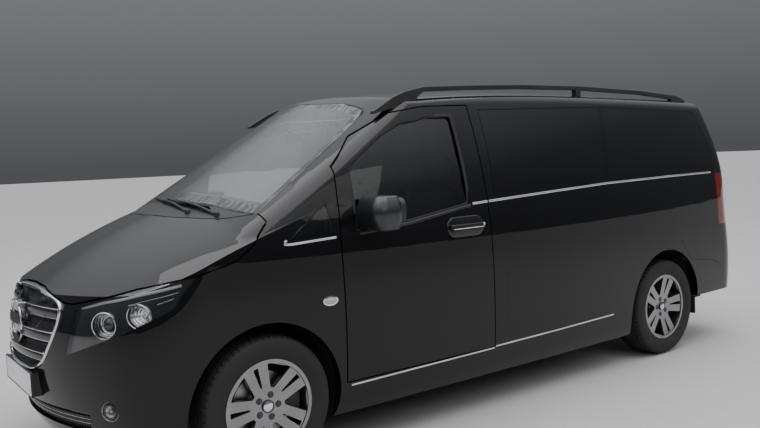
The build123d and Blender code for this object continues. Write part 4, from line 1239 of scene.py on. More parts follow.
@dataclass
class Grille:
    """Bright shield ring, bars with bright edges, woven mesh behind them and a plain badge with its rim."""

    frame: dict
    palette: Palette
    gaps: tuple[Pair, ...] = ((0.568, 0.612), (0.656, 0.706), (0.758, 0.812), (0.866, 0.928))
    bars: tuple[Pair, ...] = ((0.612, 0.656), (0.706, 0.758), (0.812, 0.866))
    outline_heights: tuple[float, ...] = (0.552, 0.600, 0.740, 0.886, 0.900, 0.930)
    outline_halves: tuple[float, ...] = (0.212, 0.330, 0.420, 0.455, 0.400, 0.240)
    pocket_margin: float = 0.022
    bar_margin: float = 0.020
    bar_points: int = 32
    bar_proud: float = 0.009
    edge_proud: float = 0.0075
    ring_width: float = 0.014
    ring_proud: float = 0.009
    ring_lean: float = 0.8
    edge_width: float = 0.006
    edge_inset: float = 0.005
    mesh_pitch: float = 0.0135
    mesh_stand: float = 0.012
    wire: float = 0.0014
    badge: Point = (2.558, 0.0, 0.766)
    badge_radius: float = 0.105

    def half_width(self, z: float, margin: float) -> float:
        """Half the shield's width at a height, less a margin."""
        return float(np.interp(z, self.outline_heights, self.outline_halves)) - margin

    def ring(self, skin: Skin) -> Shape:
        """Rounded bright ring carried round the shield, leaning outwards with the distance from the middle.

        Args:
            skin: the grille and the panels beside it.

        Returns:
            The ring.
        """
        path = resample(inset(rounded(np.array(GRILLE_SHIELD), 0.06), 0.006), 0.010, True)
        points, _ = skin.from_front(path)
        points[:, :1] = settled(points[:, :1], True, 6)
        normals = AHEAD + np.outer(points[:, 1], self.ring_lean * LEFTWARDS)
        return Shape().grid(strip(points, normals, self.ring_width, self.ring_proud, 0.006, True), True, True)

    def bar_faces(self, skin: Skin) -> tuple[Shape, Shape]:
        """Rounded bar faces, and the bright lines along their edges, each stopping at the badge.

        Args:
            skin: the grille.

        Returns:
            The shape of the bars and the shape of the lines.
        """
        faces, edges = Shape(), Shape()
        normals = np.tile([1.0, 0.0, 0.12], (self.bar_points, 1))
        for low, high in self.bars:
            middle = (low + high) / 2
            half = self.half_width(middle, self.bar_margin)
            for z, width, height, into in ((middle, high - low - self.edge_width, self.bar_proud, faces),
                                           (low + self.edge_inset, self.edge_width, self.edge_proud, edges),
                                           (high - self.edge_inset, self.edge_width, self.edge_proud, edges)):
                gap = math.sqrt(max(self.badge_radius ** 2 - (z - self.badge[2]) ** 2, 0.0)) - 0.004
                for way in (1, -1):
                    y = np.linspace(max(gap, 0.0), half, self.bar_points) * way
                    points, _ = skin.from_front(np.stack([y, np.full_like(y, middle)], -1))
                    points[:, 2] = z
                    into.raised(points, normals, width, height, 0.004)
        return faces, edges

    def mesh(self, skin: Skin) -> Shape:
        """Diamond mesh in each pocket: two families of slanted wires, cast on the pocket's back and stood off it.

        Args:
            skin: the grille.

        Returns:
            The wires.
        """
        made = Shape()
        for low, high in self.gaps:
            tall = high - low
            half = self.half_width((low + high) / 2, self.pocket_margin)
            for way in (1.0, -1.0):
                for start in np.arange(-half - tall, half, self.mesh_pitch):
                    t = np.linspace(max(0.0, (-half - start) / tall), min(1.0, (half - start) / tall), 4)
                    if t[-1] <= t[0]:
                        continue
                    z = low + t * tall if way > 0 else high - t * tall
                    points, _ = skin.from_front(np.stack([start + t * tall, z], -1))
                    deep = np.minimum(points[:, 0], np.median(points[:, 0]) + 0.002)
                    points[:, 0] = deep + self.mesh_stand + way * self.wire * 0.4
                    made.piped(points, self.wire, 4, (1, 0, 0), caps=False)
        return made

    def badge_parts(self) -> tuple[Shape, Shape]:
        """Rim and low dome of the blank badge, both turned profiles. Returns rim then dome."""
        rim = ring_profile(self.badge_radius - 0.006, 0.0005, 0.0065, 0.0055, 16)
        r = np.linspace(0, self.badge_radius - 0.012, 12)
        dome = np.stack([r, 0.0035 * np.cos(r / r[-1] * np.pi / 2) + 0.0004], -1)
        centre = np.array(self.badge)
        return Shape().turned(rim, centre, AHEAD, 72, ring=True), Shape().turned(dome, centre, AHEAD, 72)

    def build(self) -> None:
        """Makes every part of the grille and hangs it on the chassis."""
        own = Skin(self.frame, "grille")
        faces, edges = self.bar_faces(own)
        rim, dome = self.badge_parts()
        ring = self.ring(Skin(self.frame, "grille", "front_bumper", "bonnet"))
        fit(self.palette, "chassis", (ring, "grille_ring", "chrome", 60), (faces, "grille_bars", "bar_metal", 50),
            (edges, "grille_bar_edges", "chrome", 50), (self.mesh(own), "grille_mesh", "mesh", 60),
            (rim, "badge_rim", "chrome", 60), (dome, "badge_face", "gloss_black", 60))


@dataclass
class Lamp:
    """A lamp on one side, whose face looks ahead and outwards."""

    side: Side
    turn: float

    def place(self, x: float, y: float, z: float) -> Array:
        """A point with its Y on this lamp's side."""
        return np.array([x, y * self.side.value, z])

    def axis(self) -> Array:
        """Direction that the lamp's face looks."""
        return np.array([math.cos(self.turn), math.sin(self.turn) * self.side.value, 0.0])


@dataclass
class Headlamp(Lamp):
    """Reflector liners, projector lens with its collar, and running light strip behind the clear lens."""

    turn: float = math.radians(40)
    bowls: tuple[tuple[float, float, float, float], ...] = ((2.340, 0.698, 0.806, 0.060),
                                                            (2.228, 0.822, 0.846, 0.055))
    projector: tuple[float, float, float, float] = (2.310, 0.694, 0.806, 0.034)
    running: tuple[Pair, ...] = ((2.060, 0.968), (2.215, 0.936), (2.330, 0.900), (2.390, 0.872))
    ring_half: float = 0.0022
    lens_stand: float = 0.0008
    bowl_stand: float = 0.0012
    bowl_sweep: float = math.radians(78)
    facet_depth: float = 0.0006
    facet_rate: float = 26

    def liners(self) -> Shape:
        """Bowls as part spheres with stepped facets: radius wavers with the angle from the axis.

        Returns:
            Both bowls.
        """
        made = Shape()
        t = np.linspace(0, self.bowl_sweep, 36)
        for x, y, z, radius in self.bowls:
            r = radius - self.bowl_stand - self.facet_depth * (1 + np.sin(t * self.facet_rate))
            profile = np.stack([r * np.sin(t), -r * np.cos(t)], -1)
            made.grid(revolved(profile, self.place(x, y, z), self.axis(), 64), closed_columns=True, flip=True)
        return made

    def glasses(self) -> Shape:
        """Projector lens, a half sphere just outside its solid."""
        x, y, z, radius = self.projector
        size = radius + self.lens_stand
        return Shape().turned(dome_profile(size, 0.0, size, 20, 84), self.place(x, y, z), self.axis(), 48)

    def collars(self) -> Shape:
        """Rings at the projector's foot and at the rims of both bowls.

        Returns:
            The rings.
        """
        made = Shape()
        x, y, z, radius = self.projector
        rings = [(x, y, z, radius + 0.0035, 0.006)]
        rings += [(bx, by, bz, br * 0.985, br * 0.20) for bx, by, bz, br in self.bowls]
        for cx, cy, cz, r, lift in rings:
            profile = ring_profile(r, lift, self.ring_half, self.ring_half, 10)
            made.turned(profile, self.place(cx, cy, cz), self.axis(), 64, ring=True)
        return made

    def build(self, frame: dict, palette: Palette) -> None:
        """Makes the lamp's inner parts and hangs them on the chassis.

        Args:
            palette: the finishes.
        """
        housing = Skin(frame, "headlamps")
        light = Shape().raised(*housing.from_side(self.side, resample(np.array(self.running), 0.008)), 0.013, 0.006)
        word = self.side.word
        fit(palette, "chassis", (self.liners(), f"headlamp_bowls_{word}", "chrome", 20),
            (self.glasses(), f"projector_lens_{word}", "lamp_glass", 35),
            (self.collars(), f"headlamp_rings_{word}", "chrome", 60),
            (light, f"running_light_{word}", "white_lens", 50))


@dataclass
class FogLamp(Lamp):
    """Round fog lamp in its pocket: bowl, bulb shield, lens and ring, all turned about the pocket's axis.

    Bowl, shield and lens are domes, each given by its radius, base and rise; the ring by its middle and half sizes.
    """

    turn: float = math.radians(36)
    at: Point = (2.351, 0.714, 0.423)
    bowl: Point = (0.040, -0.008, -0.018)
    shield: Point = (0.011, -0.010, 0.004)
    lens: Point = (0.042, -0.006, 0.007)
    ring: tuple[float, float, float, float] = (0.0435, -0.005, 0.003, 0.004)

    def build(self, palette: Palette) -> None:
        """Makes the lamp's parts and hangs them on the chassis.

        Args:
            palette: the finishes.
        """
        centre, axis = self.place(*self.at), self.axis()
        bright = Shape().turned(dome_profile(*self.bowl), centre, axis, 56)
        bright.turned(dome_profile(*self.shield), centre, axis, 32)
        lens = Shape().turned(dome_profile(*self.lens), centre, axis, 56)
        ring = Shape().turned(ring_profile(*self.ring), centre, axis, 56, ring=True)
        word = self.side.word
        fit(palette, "chassis", (bright, f"fog_bowl_{word}", "dark_chrome", 30),
            (lens, f"fog_lens_{word}", "lamp_glass", 35), (ring, f"fog_ring_{word}", "dark_chrome", 60))


@dataclass
class Intake:
    """Lower intake: dark slats, two thin bright bars and a coarse mesh behind."""

    frame: dict
    palette: Palette
    low: float = 0.300
    high: float = 0.400
    slats: tuple[float, ...] = (0.328, 0.352, 0.376)
    bright: tuple[float, ...] = (0.340, 0.364)
    half: float = 0.57
    points: int = 70
    beyond: float = 0.012
    mesh_back: float = 0.040
    mesh_pitch: float = 0.02
    wire: float = 0.0018

    def row(self, skin: Skin, z: float, back: float) -> Array:
        """Path across the opening at a height, from the bumper's face above and below it, set back.

        Args:
            skin: the bumper.
            z: height of the path.
            back: how far behind the bumper's face it runs.

        Returns:
            Array (points, 3).
        """
        y = np.linspace(-self.half, self.half, self.points)
        above, _ = skin.from_front(np.stack([y, np.full_like(y, self.high + self.beyond)], -1))
        below, _ = skin.from_front(np.stack([y, np.full_like(y, self.low - self.beyond)], -1))
        share = (z - self.low) / (self.high - self.low)
        x = below[:, 0] * (1 - share) + above[:, 0] * share
        return np.stack([x - back, y, np.full_like(y, z)], -1)

    def build(self) -> None:
        """Makes the slats, the bright bars and the mesh."""
        skin = Skin(self.frame, "front_bumper")
        slats, bright, mesh = Shape(), Shape(), Shape()
        for into, heights, back, lean, width, proud, sink in (
                (slats, self.slats, 0.018, 0.15, 0.011, 0.008, 0.010),
                (bright, self.bright, 0.014, 0.0, 0.004, 0.004, 0.003)):
            for z in heights:
                normals = np.tile([1.0, 0.0, lean], (self.points, 1))
                into.raised(self.row(skin, z, back), normals, width, proud, sink)
        tall = self.high - self.low
        back = self.row(skin, (self.low + self.high) / 2, self.mesh_back)
        for way in (1, -1):
            for start in np.arange(-self.half, self.half - tall, self.mesh_pitch):
                y = np.linspace(start, start + tall, 4)
                z = np.linspace(self.low, self.high, 4)[::way]
                x = np.interp(y, back[:, 1], back[:, 0]) + way * 0.0008
                mesh.piped(np.stack([x, y, z], -1), self.wire, 4, (1, 0, 0), caps=False)
        fit(self.palette, "chassis", (slats, "intake_slats", "trim", 50),
            (bright, "intake_bright_bars", "chrome", 50), (mesh, "intake_mesh", "mesh", 60))


@dataclass(frozen=True)
class Plaque:
    """A small rounded fitting on the skin: draped over it, or flat and square to it, seen from behind."""

    name: str
    body: str
    nodes: tuple[str, ...]
    at: Pair
    size: Pair
    radius: float
    lift: float
    finish: str
    view: str = "side"
    draped: bool = True
    edge: float = 0.001
    sides: tuple[Side, ...] = (Side.LEFT, Side.RIGHT)


def rear_plaque(name: str, at: Pair, size: Pair, radius: float, lift: float, finish: str,
                edge: float = 0.001) -> Plaque:
    """A flat plaque on the middle of the tailgate, its edge rounded over the width given last."""
    return Plaque(name, "tailgate_body", ("tailgate",), at, size, radius, lift, finish, "behind", False, edge,
                  (Side.LEFT,))


MARKER_AT = (1.321, 0.799)
REAR_PLATE_AT = (0.0, 0.800)
PLAQUES = (
    Plaque("side_marker_rim", "chassis", ("front_wing_{}",), MARKER_AT, (0.088, 0.050), 0.025, 0.002, "chrome"),
    Plaque("side_marker", "chassis", ("front_wing_{}",), MARKER_AT, (0.074, 0.037), 0.0185, 0.008, "white_lens"),
    Plaque("handle_cup", "door_{}_body", ("door_{}",), (0.399, 1.087), (0.272, 0.112), 0.055, 0.004, "gloss_black"),
    Plaque("rear_reflector", "chassis", ("rear_bumper",), (0.640, 0.480), (0.150, 0.030), 0.008, 0.003,
           "red_lens", "behind"),
    Plaque("reversing_lamp", "chassis", ("tail_lamps",), (0.858, 0.935), (0.060, 0.045), 0.006, 0.002,
           "white_lens", "behind"),
    Plaque("indicator_lens", "chassis", ("tail_lamps",), (0.858, 1.000), (0.060, 0.045), 0.006, 0.002,
           "amber_lens", "behind"),
    Plaque("brake_lens", "chassis", ("tail_lamps",), (0.852, 1.120), (0.056, 0.130), 0.010, 0.003,
           "dark_red_lens", "behind"),
    rear_plaque("rear_plate_frame", REAR_PLATE_AT, (0.540, 0.132), 0.012, 0.010, "trim", 0.004),
    rear_plaque("rear_plate", REAR_PLATE_AT, (0.520, 0.110), 0.008, 0.012, "plate"),
    rear_plaque("high_brake_lamp", (0.0, 1.775), (0.300, 0.030), 0.010, 0.006, "red_lens", 0.004),
    rear_plaque("plate_lamp_bar", (0.0, 0.895), (0.360, 0.026), 0.008, 0.014, "trim", 0.006),
)


@dataclass
class Fittings:
    """Small rounded fittings, the front plate, door handles' inserts and mirror glasses."""

    frame: dict
    palette: Palette
    plate_at: Point = (2.568, 0.0, 0.4925)
    handle_x: Pair = (0.284, 0.513)
    handle_z: float = 1.0785
    key_at: Pair = (0.283, 1.094)

    def lay(self, spec: Plaque, side: Side) -> None:
        """Lays one plaque on its side and hangs it on its body.

        Args:
            spec: the plaque.
            side: the side it is laid on.
        """
        skin = Skin(self.frame, *(n.format(side.word) for n in spec.nodes))
        grid = self.drape(spec, side, skin) if spec.draped else self.square(spec, side, skin)
        label = side_label(spec.name, side, spec.sides)
        made = Shape().grid(grid, closed_columns=True)
        fit(self.palette, spec.body.format(side.word), (made, label, spec.finish, 40))

    def square(self, spec: Plaque, side: Side, skin: Skin) -> Array:
        """A flat plaque, square to the mean of the skin's normals at four points round its middle.

        Args:
            spec: the plaque.
            side: the side it is laid on.
            skin: what carries it, met from behind.

        Returns:
            Grid (rings, n, 3), closed along its columns.
        """
        near = np.array([[0, 0], [0.05, 0], [-0.05, 0], [0.0, 0.008], [0, -0.008]])
        points, normals = skin.from_behind(np.array([spec.at]) * [side.value, 1] + near)
        out = unit(normals[1:].mean(axis=0))
        return plaque(points[0], LEFTWARDS, out, spec.size, spec.radius, domed(spec.edge, spec.lift, 0.012))

    def drape(self, spec: Plaque, side: Side, skin: Skin) -> Array:
        """A patch whose rim follows the skin: rings run from the rim to its middle and rise as a parabola.

        Args:
            spec: the plaque.
            side: the side it is laid on.
            skin: what carries it.

        Returns:
            Grid (rings, n, 3), closed along its columns.
        """
        oval = 2 * spec.radius >= spec.size[1]
        outline = (circle(48) * spec.size / 2 if oval else rounded_rect(*spec.size, spec.radius)) + spec.at
        rim, normals = (skin.from_side(side, outline) if spec.view == "side"
                        else skin.from_behind(outline * [side.value, 1]))
        middle, out = rim.mean(axis=0), unit(normals.mean(axis=0))
        share = np.array([1.0, 1.0, 0.985, 0.9, 0.7, 0.45, 0.2, 0.0])[:, None, None]
        lift = np.array([-0.0006, 0.0008, *(0.0016,) * 6])[:, None, None]
        return middle + (rim - middle)[None] * share + out * (lift + spec.lift * (1 - share ** 2))

    def front_plate(self) -> None:
        """Blank pale plate in a thin dark frame on the bumper's plinth."""
        frame = Shape().tile(self.plate_at, LEFTWARDS, AHEAD, (0.534, 0.124), 0.010,
                             ((0, -0.006), (0, 0.003), (0.001, 0.0045), (0.007, 0.0045), (0.008, 0.002)))
        plate = Shape().tile(self.plate_at, LEFTWARDS, AHEAD, (0.520, 0.110), 0.008,
                             ((0, 0.001), (0, 0.0032), (0.0006, 0.0036), (0.003, 0.0036), (0.0036, 0.0031)))
        fit(self.palette, "chassis", (frame, "front_plate_frame", "trim", 40),
            (plate, "front_plate", "plate", 40))

    def door(self, side: Side) -> None:
        """Bright insert along the handle, key cylinder, and mirror glass in its dark frame.

        Args:
            side: the door's side.
        """
        skin = Skin(self.frame, f"door_{side.word}")
        x = np.linspace(*self.handle_x, 30)
        along_handle = skin.from_side(side, np.stack([x, np.full_like(x, self.handle_z)], -1))
        insert = Shape().raised(*along_handle, 0.0055, 0.0022)
        key, way = skin.from_side(side, np.array([self.key_at]))
        insert.turned(dome_profile(0.0075, 0.0, 0.003, 6), key[0], way[0], 20)
        low, high = (np.array(v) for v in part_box(f"mirror_{side.word}"))
        middle = np.array([low[0], (low[1] + high[1]) / 2 + side.value * 0.004, (low[2] + high[2]) / 2 + 0.008])
        rim = Shape().tile(middle, LEFTWARDS, ASTERN, (0.168, 0.136), 0.05,
                           ((0, -0.030), (0, 0.000), (0.002, 0.002), (0.006, 0.002), (0.007, -0.002)))
        glass = Shape().tile(middle, LEFTWARDS, ASTERN, (0.156, 0.124), 0.045,
                             ((0, -0.004), (0.0, 0.0006), (0.001, 0.0012)))
        fit(self.palette, f"door_{side.word}_body", (insert, f"handle_insert_{side.word}", "chrome", 50),
            (rim, f"mirror_rim_{side.word}", "trim", 40), (glass, f"mirror_glass_{side.word}", "mirror", 40))

    def build(self) -> None:
        """Lays all the fittings."""
        for spec in PLAQUES:
            for side in spec.sides:
                self.lay(spec, side)
        self.front_plate()
        for side in Side:
            self.door(side)


@dataclass
class Wiper:
    """A wiper: curved arm from its pivot, and a blade with its rubber on the glass."""

    name: str
    nodes: tuple[str, ...]
    body: str
    pivot: Pair
    heel: Pair
    tip: Pair
    rear: bool = False
    spine_lift: float = 0.014
    arm_lift: float = 0.020
    arch: float = 0.014

    def build(self, frame: dict, palette: Palette) -> None:
        """Blade on the pane between heel and tip, arm arched from the pivot to the blade's middle.

        Args:
            palette: the finishes.
        """
        skin = Skin(frame, *self.nodes)
        cast = skin.from_behind if self.rear else skin.from_front
        t = np.linspace(0, 1, 24)[:, None]
        points, normals = cast(np.array(self.heel) * (1 - t) + np.array(self.tip) * t)
        out = unit(normals.mean(axis=0))
        blade = Shape().piped(points + out * self.spine_lift, 0.0055 - 0.002 * np.abs(t[:, 0] * 2 - 1), 8)
        blade.raised(points, normals, 0.004, 0.011)
        base = cast(np.array([self.pivot]))[0][0]
        a = np.linspace(0, 1, 18)[:, None]
        path = base * (1 - a) + (points[12] + out * self.arm_lift) * a + out * self.arch * np.sin(a * np.pi)
        arm = Shape().piped(path, 0.009 - 0.004 * a[:, 0], 8)
        knob = np.array([[0.0, 0.022], [0.010, 0.020], [0.015, 0.012], [0.016, -0.01]])
        arm.turned(knob, base, out, 24)
        fit(palette, self.body, (blade, f"{self.name}_blade", "rubber", 50),
            (arm, f"{self.name}_arm", "trim", 50))


WIPERS = (
    Wiper("wiper_left", ("windscreen", "cowl"), "chassis", (0.560, 1.240), (0.455, 1.268), (-0.110, 1.303)),
    Wiper("wiper_right", ("windscreen", "cowl"), "chassis", (0.350, 1.252), (0.240, 1.280), (-0.370, 1.300)),
    Wiper("wiper_rear", ("tailgate_glass",), "tailgate_body", (0.0, 1.205), (0.060, 1.222), (-0.300, 1.232),
          rear=True),
)


@dataclass(frozen=True)
class SeatPart:
    """A padded part that both seats have: where it is in side view, its half sizes and how it is stuffed.

    The half sizes run along the part, across it and through it.
    """

    name: str
    node: str
    at: Pair
    half: Point
    soft: float
    crown: float
    bolster: float
    channels: int
    fill: float
    upright: bool = True


SEAT_PARTS = (
    SeatPart("seat_cushions", "seat_pads", (0.545, 0.622), (0.253, 0.243, 0.060), 0.32, 0.012, 0.014, 6, 0.75,
             upright=False),
    SeatPart("seat_backrests", "seat_backs", (0.248, 0.990), (0.318, 0.238, 0.052), 0.32, 0.012, 0.018, 8, 0.75),
    SeatPart("seat_headrests", "headrests", (0.168, 1.410), (0.084, 0.128, 0.038), 0.42, 0.008, 0.0, 1, 0.85),
)


def powered(wave: Array, soft: float) -> Array:
    """A sine or cosine raised to an exponent with its sign kept."""
    return np.sign(wave) * np.abs(wave) ** soft


@dataclass
class Cabin:
    """Padded seats with sewn channels and bolsters, dashboard fittings, door linings, inner mirror and visors."""

    frame: dict
    palette: Palette
    seat_y: float = 0.430
    lean: float = math.radians(-11)
    seam_at: float = 0.62
    seam_width: float = 0.02
    channel_width: float = 0.06
    seam_depth: float = 0.006
    post_spread: float = 0.06
    post_foot: Pair = (0.196, 1.262)
    post_head: Pair = (0.171, 1.385)
    post_radius: float = 0.006
    dash_ahead_of: float = 0.6
    lining_start: float = 0.55
    lining_corner: Pair = (0.262, 0.415)
    lining_size: Pair = (0.896, 0.665)
    mirror_facing: Point = (-1.0, 0.0, -0.1)
    visor_at: Point = (0.640, 0.33, 1.705)
    visor_size: Pair = (0.38, 0.15)

    def pad(self, spec: SeatPart, centre: Array) -> Array:
        """Stuffed block: superellipsoid, crowned on its face, raised at its side bolsters, cut by its seams.

        Args:
            spec: the part.
            centre: its middle.

        Returns:
            Grid (49, 96, 3), closed along its columns.
        """
        u = np.linspace(-np.pi / 2, np.pi / 2, 49)[:, None]
        v = np.linspace(0, 2 * np.pi, 97)[None, :-1]
        p = powered(np.cos(u), spec.soft) * powered(np.cos(v), spec.soft)
        q = powered(np.cos(u), spec.soft) * powered(np.sin(v), spec.soft)
        r = powered(np.sin(u), spec.soft) + 0 * v
        up = np.clip(r, 0, 1)
        far = np.abs(q)
        swell = spec.crown * (1 - p ** 2) * (1 - q ** 2) * up
        sides = spec.bolster * np.clip((far - self.seam_at) / 0.2, 0, 1) * np.clip((1 - far) / 0.12, 0, 1) * up
        seam = np.exp(-((far - self.seam_at) / self.seam_width) ** 2)
        across = np.exp(-((np.mod((p + 1) / 2 * spec.channels, 1) - 0.5) / self.channel_width) ** 2)
        sewn = across * (far < self.seam_at) * (np.abs(p) < 0.9)
        sunk = self.seam_depth * up * np.maximum(seam, sewn)
        x, y, z = p * spec.half[0], q * spec.half[1], r * spec.half[2] + swell + sides - sunk
        if spec.upright:
            x, z = z, x
        tilt = self.lean if spec.upright else 0.0
        c, s = math.cos(tilt), math.sin(tilt)
        return np.stack([x * c + z * s, y, -x * s + z * c], -1) + centre

    def posts(self, made: Shape, side: Side) -> None:
        """Adds the two rods that carry a seat's headrest.

        Args:
            made: the shape that they go into.
            side: the seat's side.
        """
        t = np.linspace(0, 1, 5)[:, None]
        for y in (-self.post_spread, self.post_spread):
            foot, head = (np.array([x, side.value * self.seat_y + y, z]) for x, z in (self.post_foot, self.post_head))
            made.piped(foot * (1 - t) + head * t, self.post_radius, 10, (0, 1, 0), caps=False)

    def seats(self) -> None:
        """One piece for both pads, one for both backs, one for both headrests, each standing for its node."""
        for spec in SEAT_PARTS:
            made = Shape()
            for side in Side:
                centre = np.array([spec.at[0], side.value * self.seat_y, spec.at[1]])
                made.grid(self.pad(spec, centre), closed_columns=True, flip=spec.upright)
            if spec.node == "headrests":
                for side in Side:
                    self.posts(made, side)
            piece = made.build(spec.name, self.palette.get("leather"), angle=60)
            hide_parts(spec.node)
            hang("chassis", piece)

    def dashboard(self) -> None:
        """Screens, vents and a glovebox lid on the dashboard's face towards the seats."""
        skin = Skin(self.frame, "dashboard")
        dark, soft, bright = Shape(), Shape(), Shape()
        rows = (
            (0.43, 1.125, 0.30, 0.085, 0.02, 0.012, dark), (0.0, 1.118, 0.24, 0.11, 0.012, 0.010, dark),
            (0.0, 1.000, 0.20, 0.06, 0.010, 0.008, dark), (0.72, 1.110, 0.10, 0.07, 0.03, 0.010, bright),
            (-0.72, 1.110, 0.10, 0.07, 0.03, 0.010, bright), (0.20, 1.110, 0.07, 0.06, 0.02, 0.010, bright),
            (-0.20, 1.110, 0.07, 0.06, 0.02, 0.010, bright), (-0.43, 0.960, 0.36, 0.12, 0.02, 0.006, soft),
        )
        for y, z, width, height, radius, lift, into in rows:
            points, normals = skin.cast(np.array([[self.dash_ahead_of, y, z]]), (1, 0, 0))
            into.tile(points[0], LEFTWARDS, normals[0], (width, height), radius, domed(0.006, lift, 0.01))
        fit(self.palette, "chassis", (dark, "dash_screens", "gloss_black", 40),
            (soft, "dash_glovebox", "plastic", 40), (bright, "dash_vents", "dark_chrome", 40))

    def lining(self, side: Side) -> None:
        """Moulded panel on the inside of a door, laid on its inner face, with armrest, pocket and upper swell.

        With u along the door and v up it, both from 0 to 1, the panel stands off the door by
        0.006 + 0.055 exp(-((v - 0.62) / 0.07)^2) sin(pi u)^0.4 + 0.035 (1 - v)^3 sin(pi u)^0.5,
        less the recess of the pull, 0.02 exp(-((u - 0.45) / 0.12)^2 - ((v - 0.74) / 0.05)^2).

        Args:
            side: the door's side.
        """
        skin, s = Skin(self.frame, f"door_{side.word}"), side.value
        u, v = np.meshgrid(np.linspace(0, 1, 61), np.linspace(0, 1, 49))
        x, z = (start + size * w for start, size, w in zip(self.lining_corner, self.lining_size, (u, v)))
        flat = np.stack([x.ravel(), np.full(x.size, s * self.lining_start), z.ravel()], -1)
        points, _ = skin.cast(flat, (0, s, 0))
        y = settled(points[:, 1].reshape(x.shape), False, 3)
        ends = np.sin(np.pi * u)
        stand = 0.006 + 0.055 * np.exp(-((v - 0.62) / 0.07) ** 2) * ends ** 0.4 + 0.035 * (1 - v) ** 3 * ends ** 0.5
        stand -= 0.02 * np.exp(-((u - 0.45) / 0.12) ** 2 - ((v - 0.74) / 0.05) ** 2)
        border = (u > 0) & (u < 1) & (v > 0) & (v < 1)
        panel = Shape().grid(np.stack([x, y - s * np.where(border, stand, -0.002), z], -1), flip=side is Side.LEFT)
        pull = np.array([[0.62, 0.93], [0.70, 0.945], [0.78, 0.93]])
        starts = np.stack([pull[:, 0], np.full(3, s * self.lining_start), pull[:, 1]], -1)
        on_door, _ = skin.cast(starts, (0, s, 0))
        handle = Shape().piped(resample(on_door - s * 0.012 * LEFTWARDS, 0.01), 0.007)
        fit(self.palette, f"door_{side.word}_body", (panel, f"door_lining_{side.word}", "lining", 50),
            (handle, f"door_release_{side.word}", "dark_chrome", 50))

    def overhead(self) -> None:
        """Inner mirror on its stalk, and two padded sun visors under the front of the roof."""
        shell = Shape().tile((0.905, 0.0, 1.640), LEFTWARDS, self.mirror_facing, (0.235, 0.068), 0.03,
                             ((0.02, -0.022), (0.004, -0.012), (0, 0), (0.001, 0.003), (0.006, 0.003)))
        t = np.linspace(0, 1, 8)[:, None]
        stalk = np.array([0.925, 0.0, 1.650]) * (1 - t) + np.array([0.985, 0.0, 1.690]) * t
        shell.piped(stalk, 0.008, 10, (0, 1, 0))
        glass = Shape().tile((0.9015, 0.0, 1.6397), LEFTWARDS, self.mirror_facing, (0.222, 0.056), 0.026,
                             ((0, 0), (0.001, 0.0008)))
        visors = Shape()
        for side in Side:
            centre = np.array(self.visor_at) * (1, side.value, 1)
            visors.tile(centre, LEFTWARDS, (0.35, 0, -1.0), self.visor_size, 0.03,
                        ((0.012, -0.010), (0, -0.004), (0, 0.004), (0.004, 0.008), (0.012, 0.010)))
        fit(self.palette, "chassis", (shell, "inner_mirror", "plastic", 40),
            (glass, "inner_mirror_glass", "mirror", 40), (visors, "sun_visors", "cream", 50))

    def build(self) -> None:
        """Makes the seats, the dashboard's fittings, the door linings and what hangs under the roof."""
        self.seats()
        self.dashboard()
        self.overhead()
        for side in Side:
            self.lining(side)


@dataclass
class EngineBay:
    """What shows under the bonnet: ribbed engine cover, oil filler cap and coolant hoses."""

    palette: Palette
    crown: float = 0.034
    rib: float = 0.004
    hose_radius: float = 0.018
    hose_runs: tuple[Pair, ...] = ((-0.16, 0.02), (0.18, 0.05))

    def cover(self, middle: Array, half: Array, top: float) -> Shape:
        """Cover on the block: a superellipse in plan, crowned, with ribs that run fore and aft.

        With p and q from -1 to 1 over it, its height is crown (1 - p^6)(1 - q^6), and the ribs add
        rib cos(9 pi q)^2 inside |p| < 0.7 and |q| < 0.9.

        Args:
            middle: the block's middle.
            half: its half sizes.
            top: its highest Z.

        Returns:
            The cover.
        """
        p, q = np.meshgrid(np.linspace(-1, 1, 41), np.linspace(-1, 1, 81), indexing="ij")
        ribs = self.rib * np.cos(9 * np.pi * q) ** 2 * (np.abs(p) < 0.7) * (np.abs(q) < 0.9)
        lift = self.crown * (1 - p ** 6) * (1 - q ** 6) + ribs
        return Shape().grid(np.stack([middle[0] + 0.9 * half[0] * p, middle[1] + 0.92 * half[1] * q,
                                      top - 0.002 + lift], -1))

    def build(self) -> None:
        """Makes the cover, the oil filler's cap and the hoses."""
        low, high = (np.array(v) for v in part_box("engine_block"))
        middle, half = (low + high) / 2, (high - low) / 2
        profile = np.array([[0.0, 0.022], [0.018, 0.021], [0.024, 0.017], [0.025, 0.0], [0.025, -0.01]])
        cap = Shape().turned(profile, np.array([middle[0] - 0.08, middle[1] + 0.10, high[2] + 0.030]), UPWARDS, 28)
        hoses = Shape()
        t = np.linspace(0, 1, 26)[:, None]
        for y, drop in self.hose_runs:
            start = np.array([high[0] - 0.04, middle[1] + y, high[2] - 0.03 - drop])
            end = np.array([high[0] + 0.055, middle[1] + y * 1.5, high[2] - 0.12 - drop])
            hoses.piped(start * (1 - t) + end * t + 0.03 * UPWARDS * np.sin(np.pi * t), self.hose_radius, 14)
        cover = self.cover(middle, half, high[2])
        fit(self.palette, "chassis", (cover, "engine_cover", "plastic", 50), (cap, "oil_filler_cap", "trim", 50),
            (hoses, "coolant_hoses", "rubber", 50))


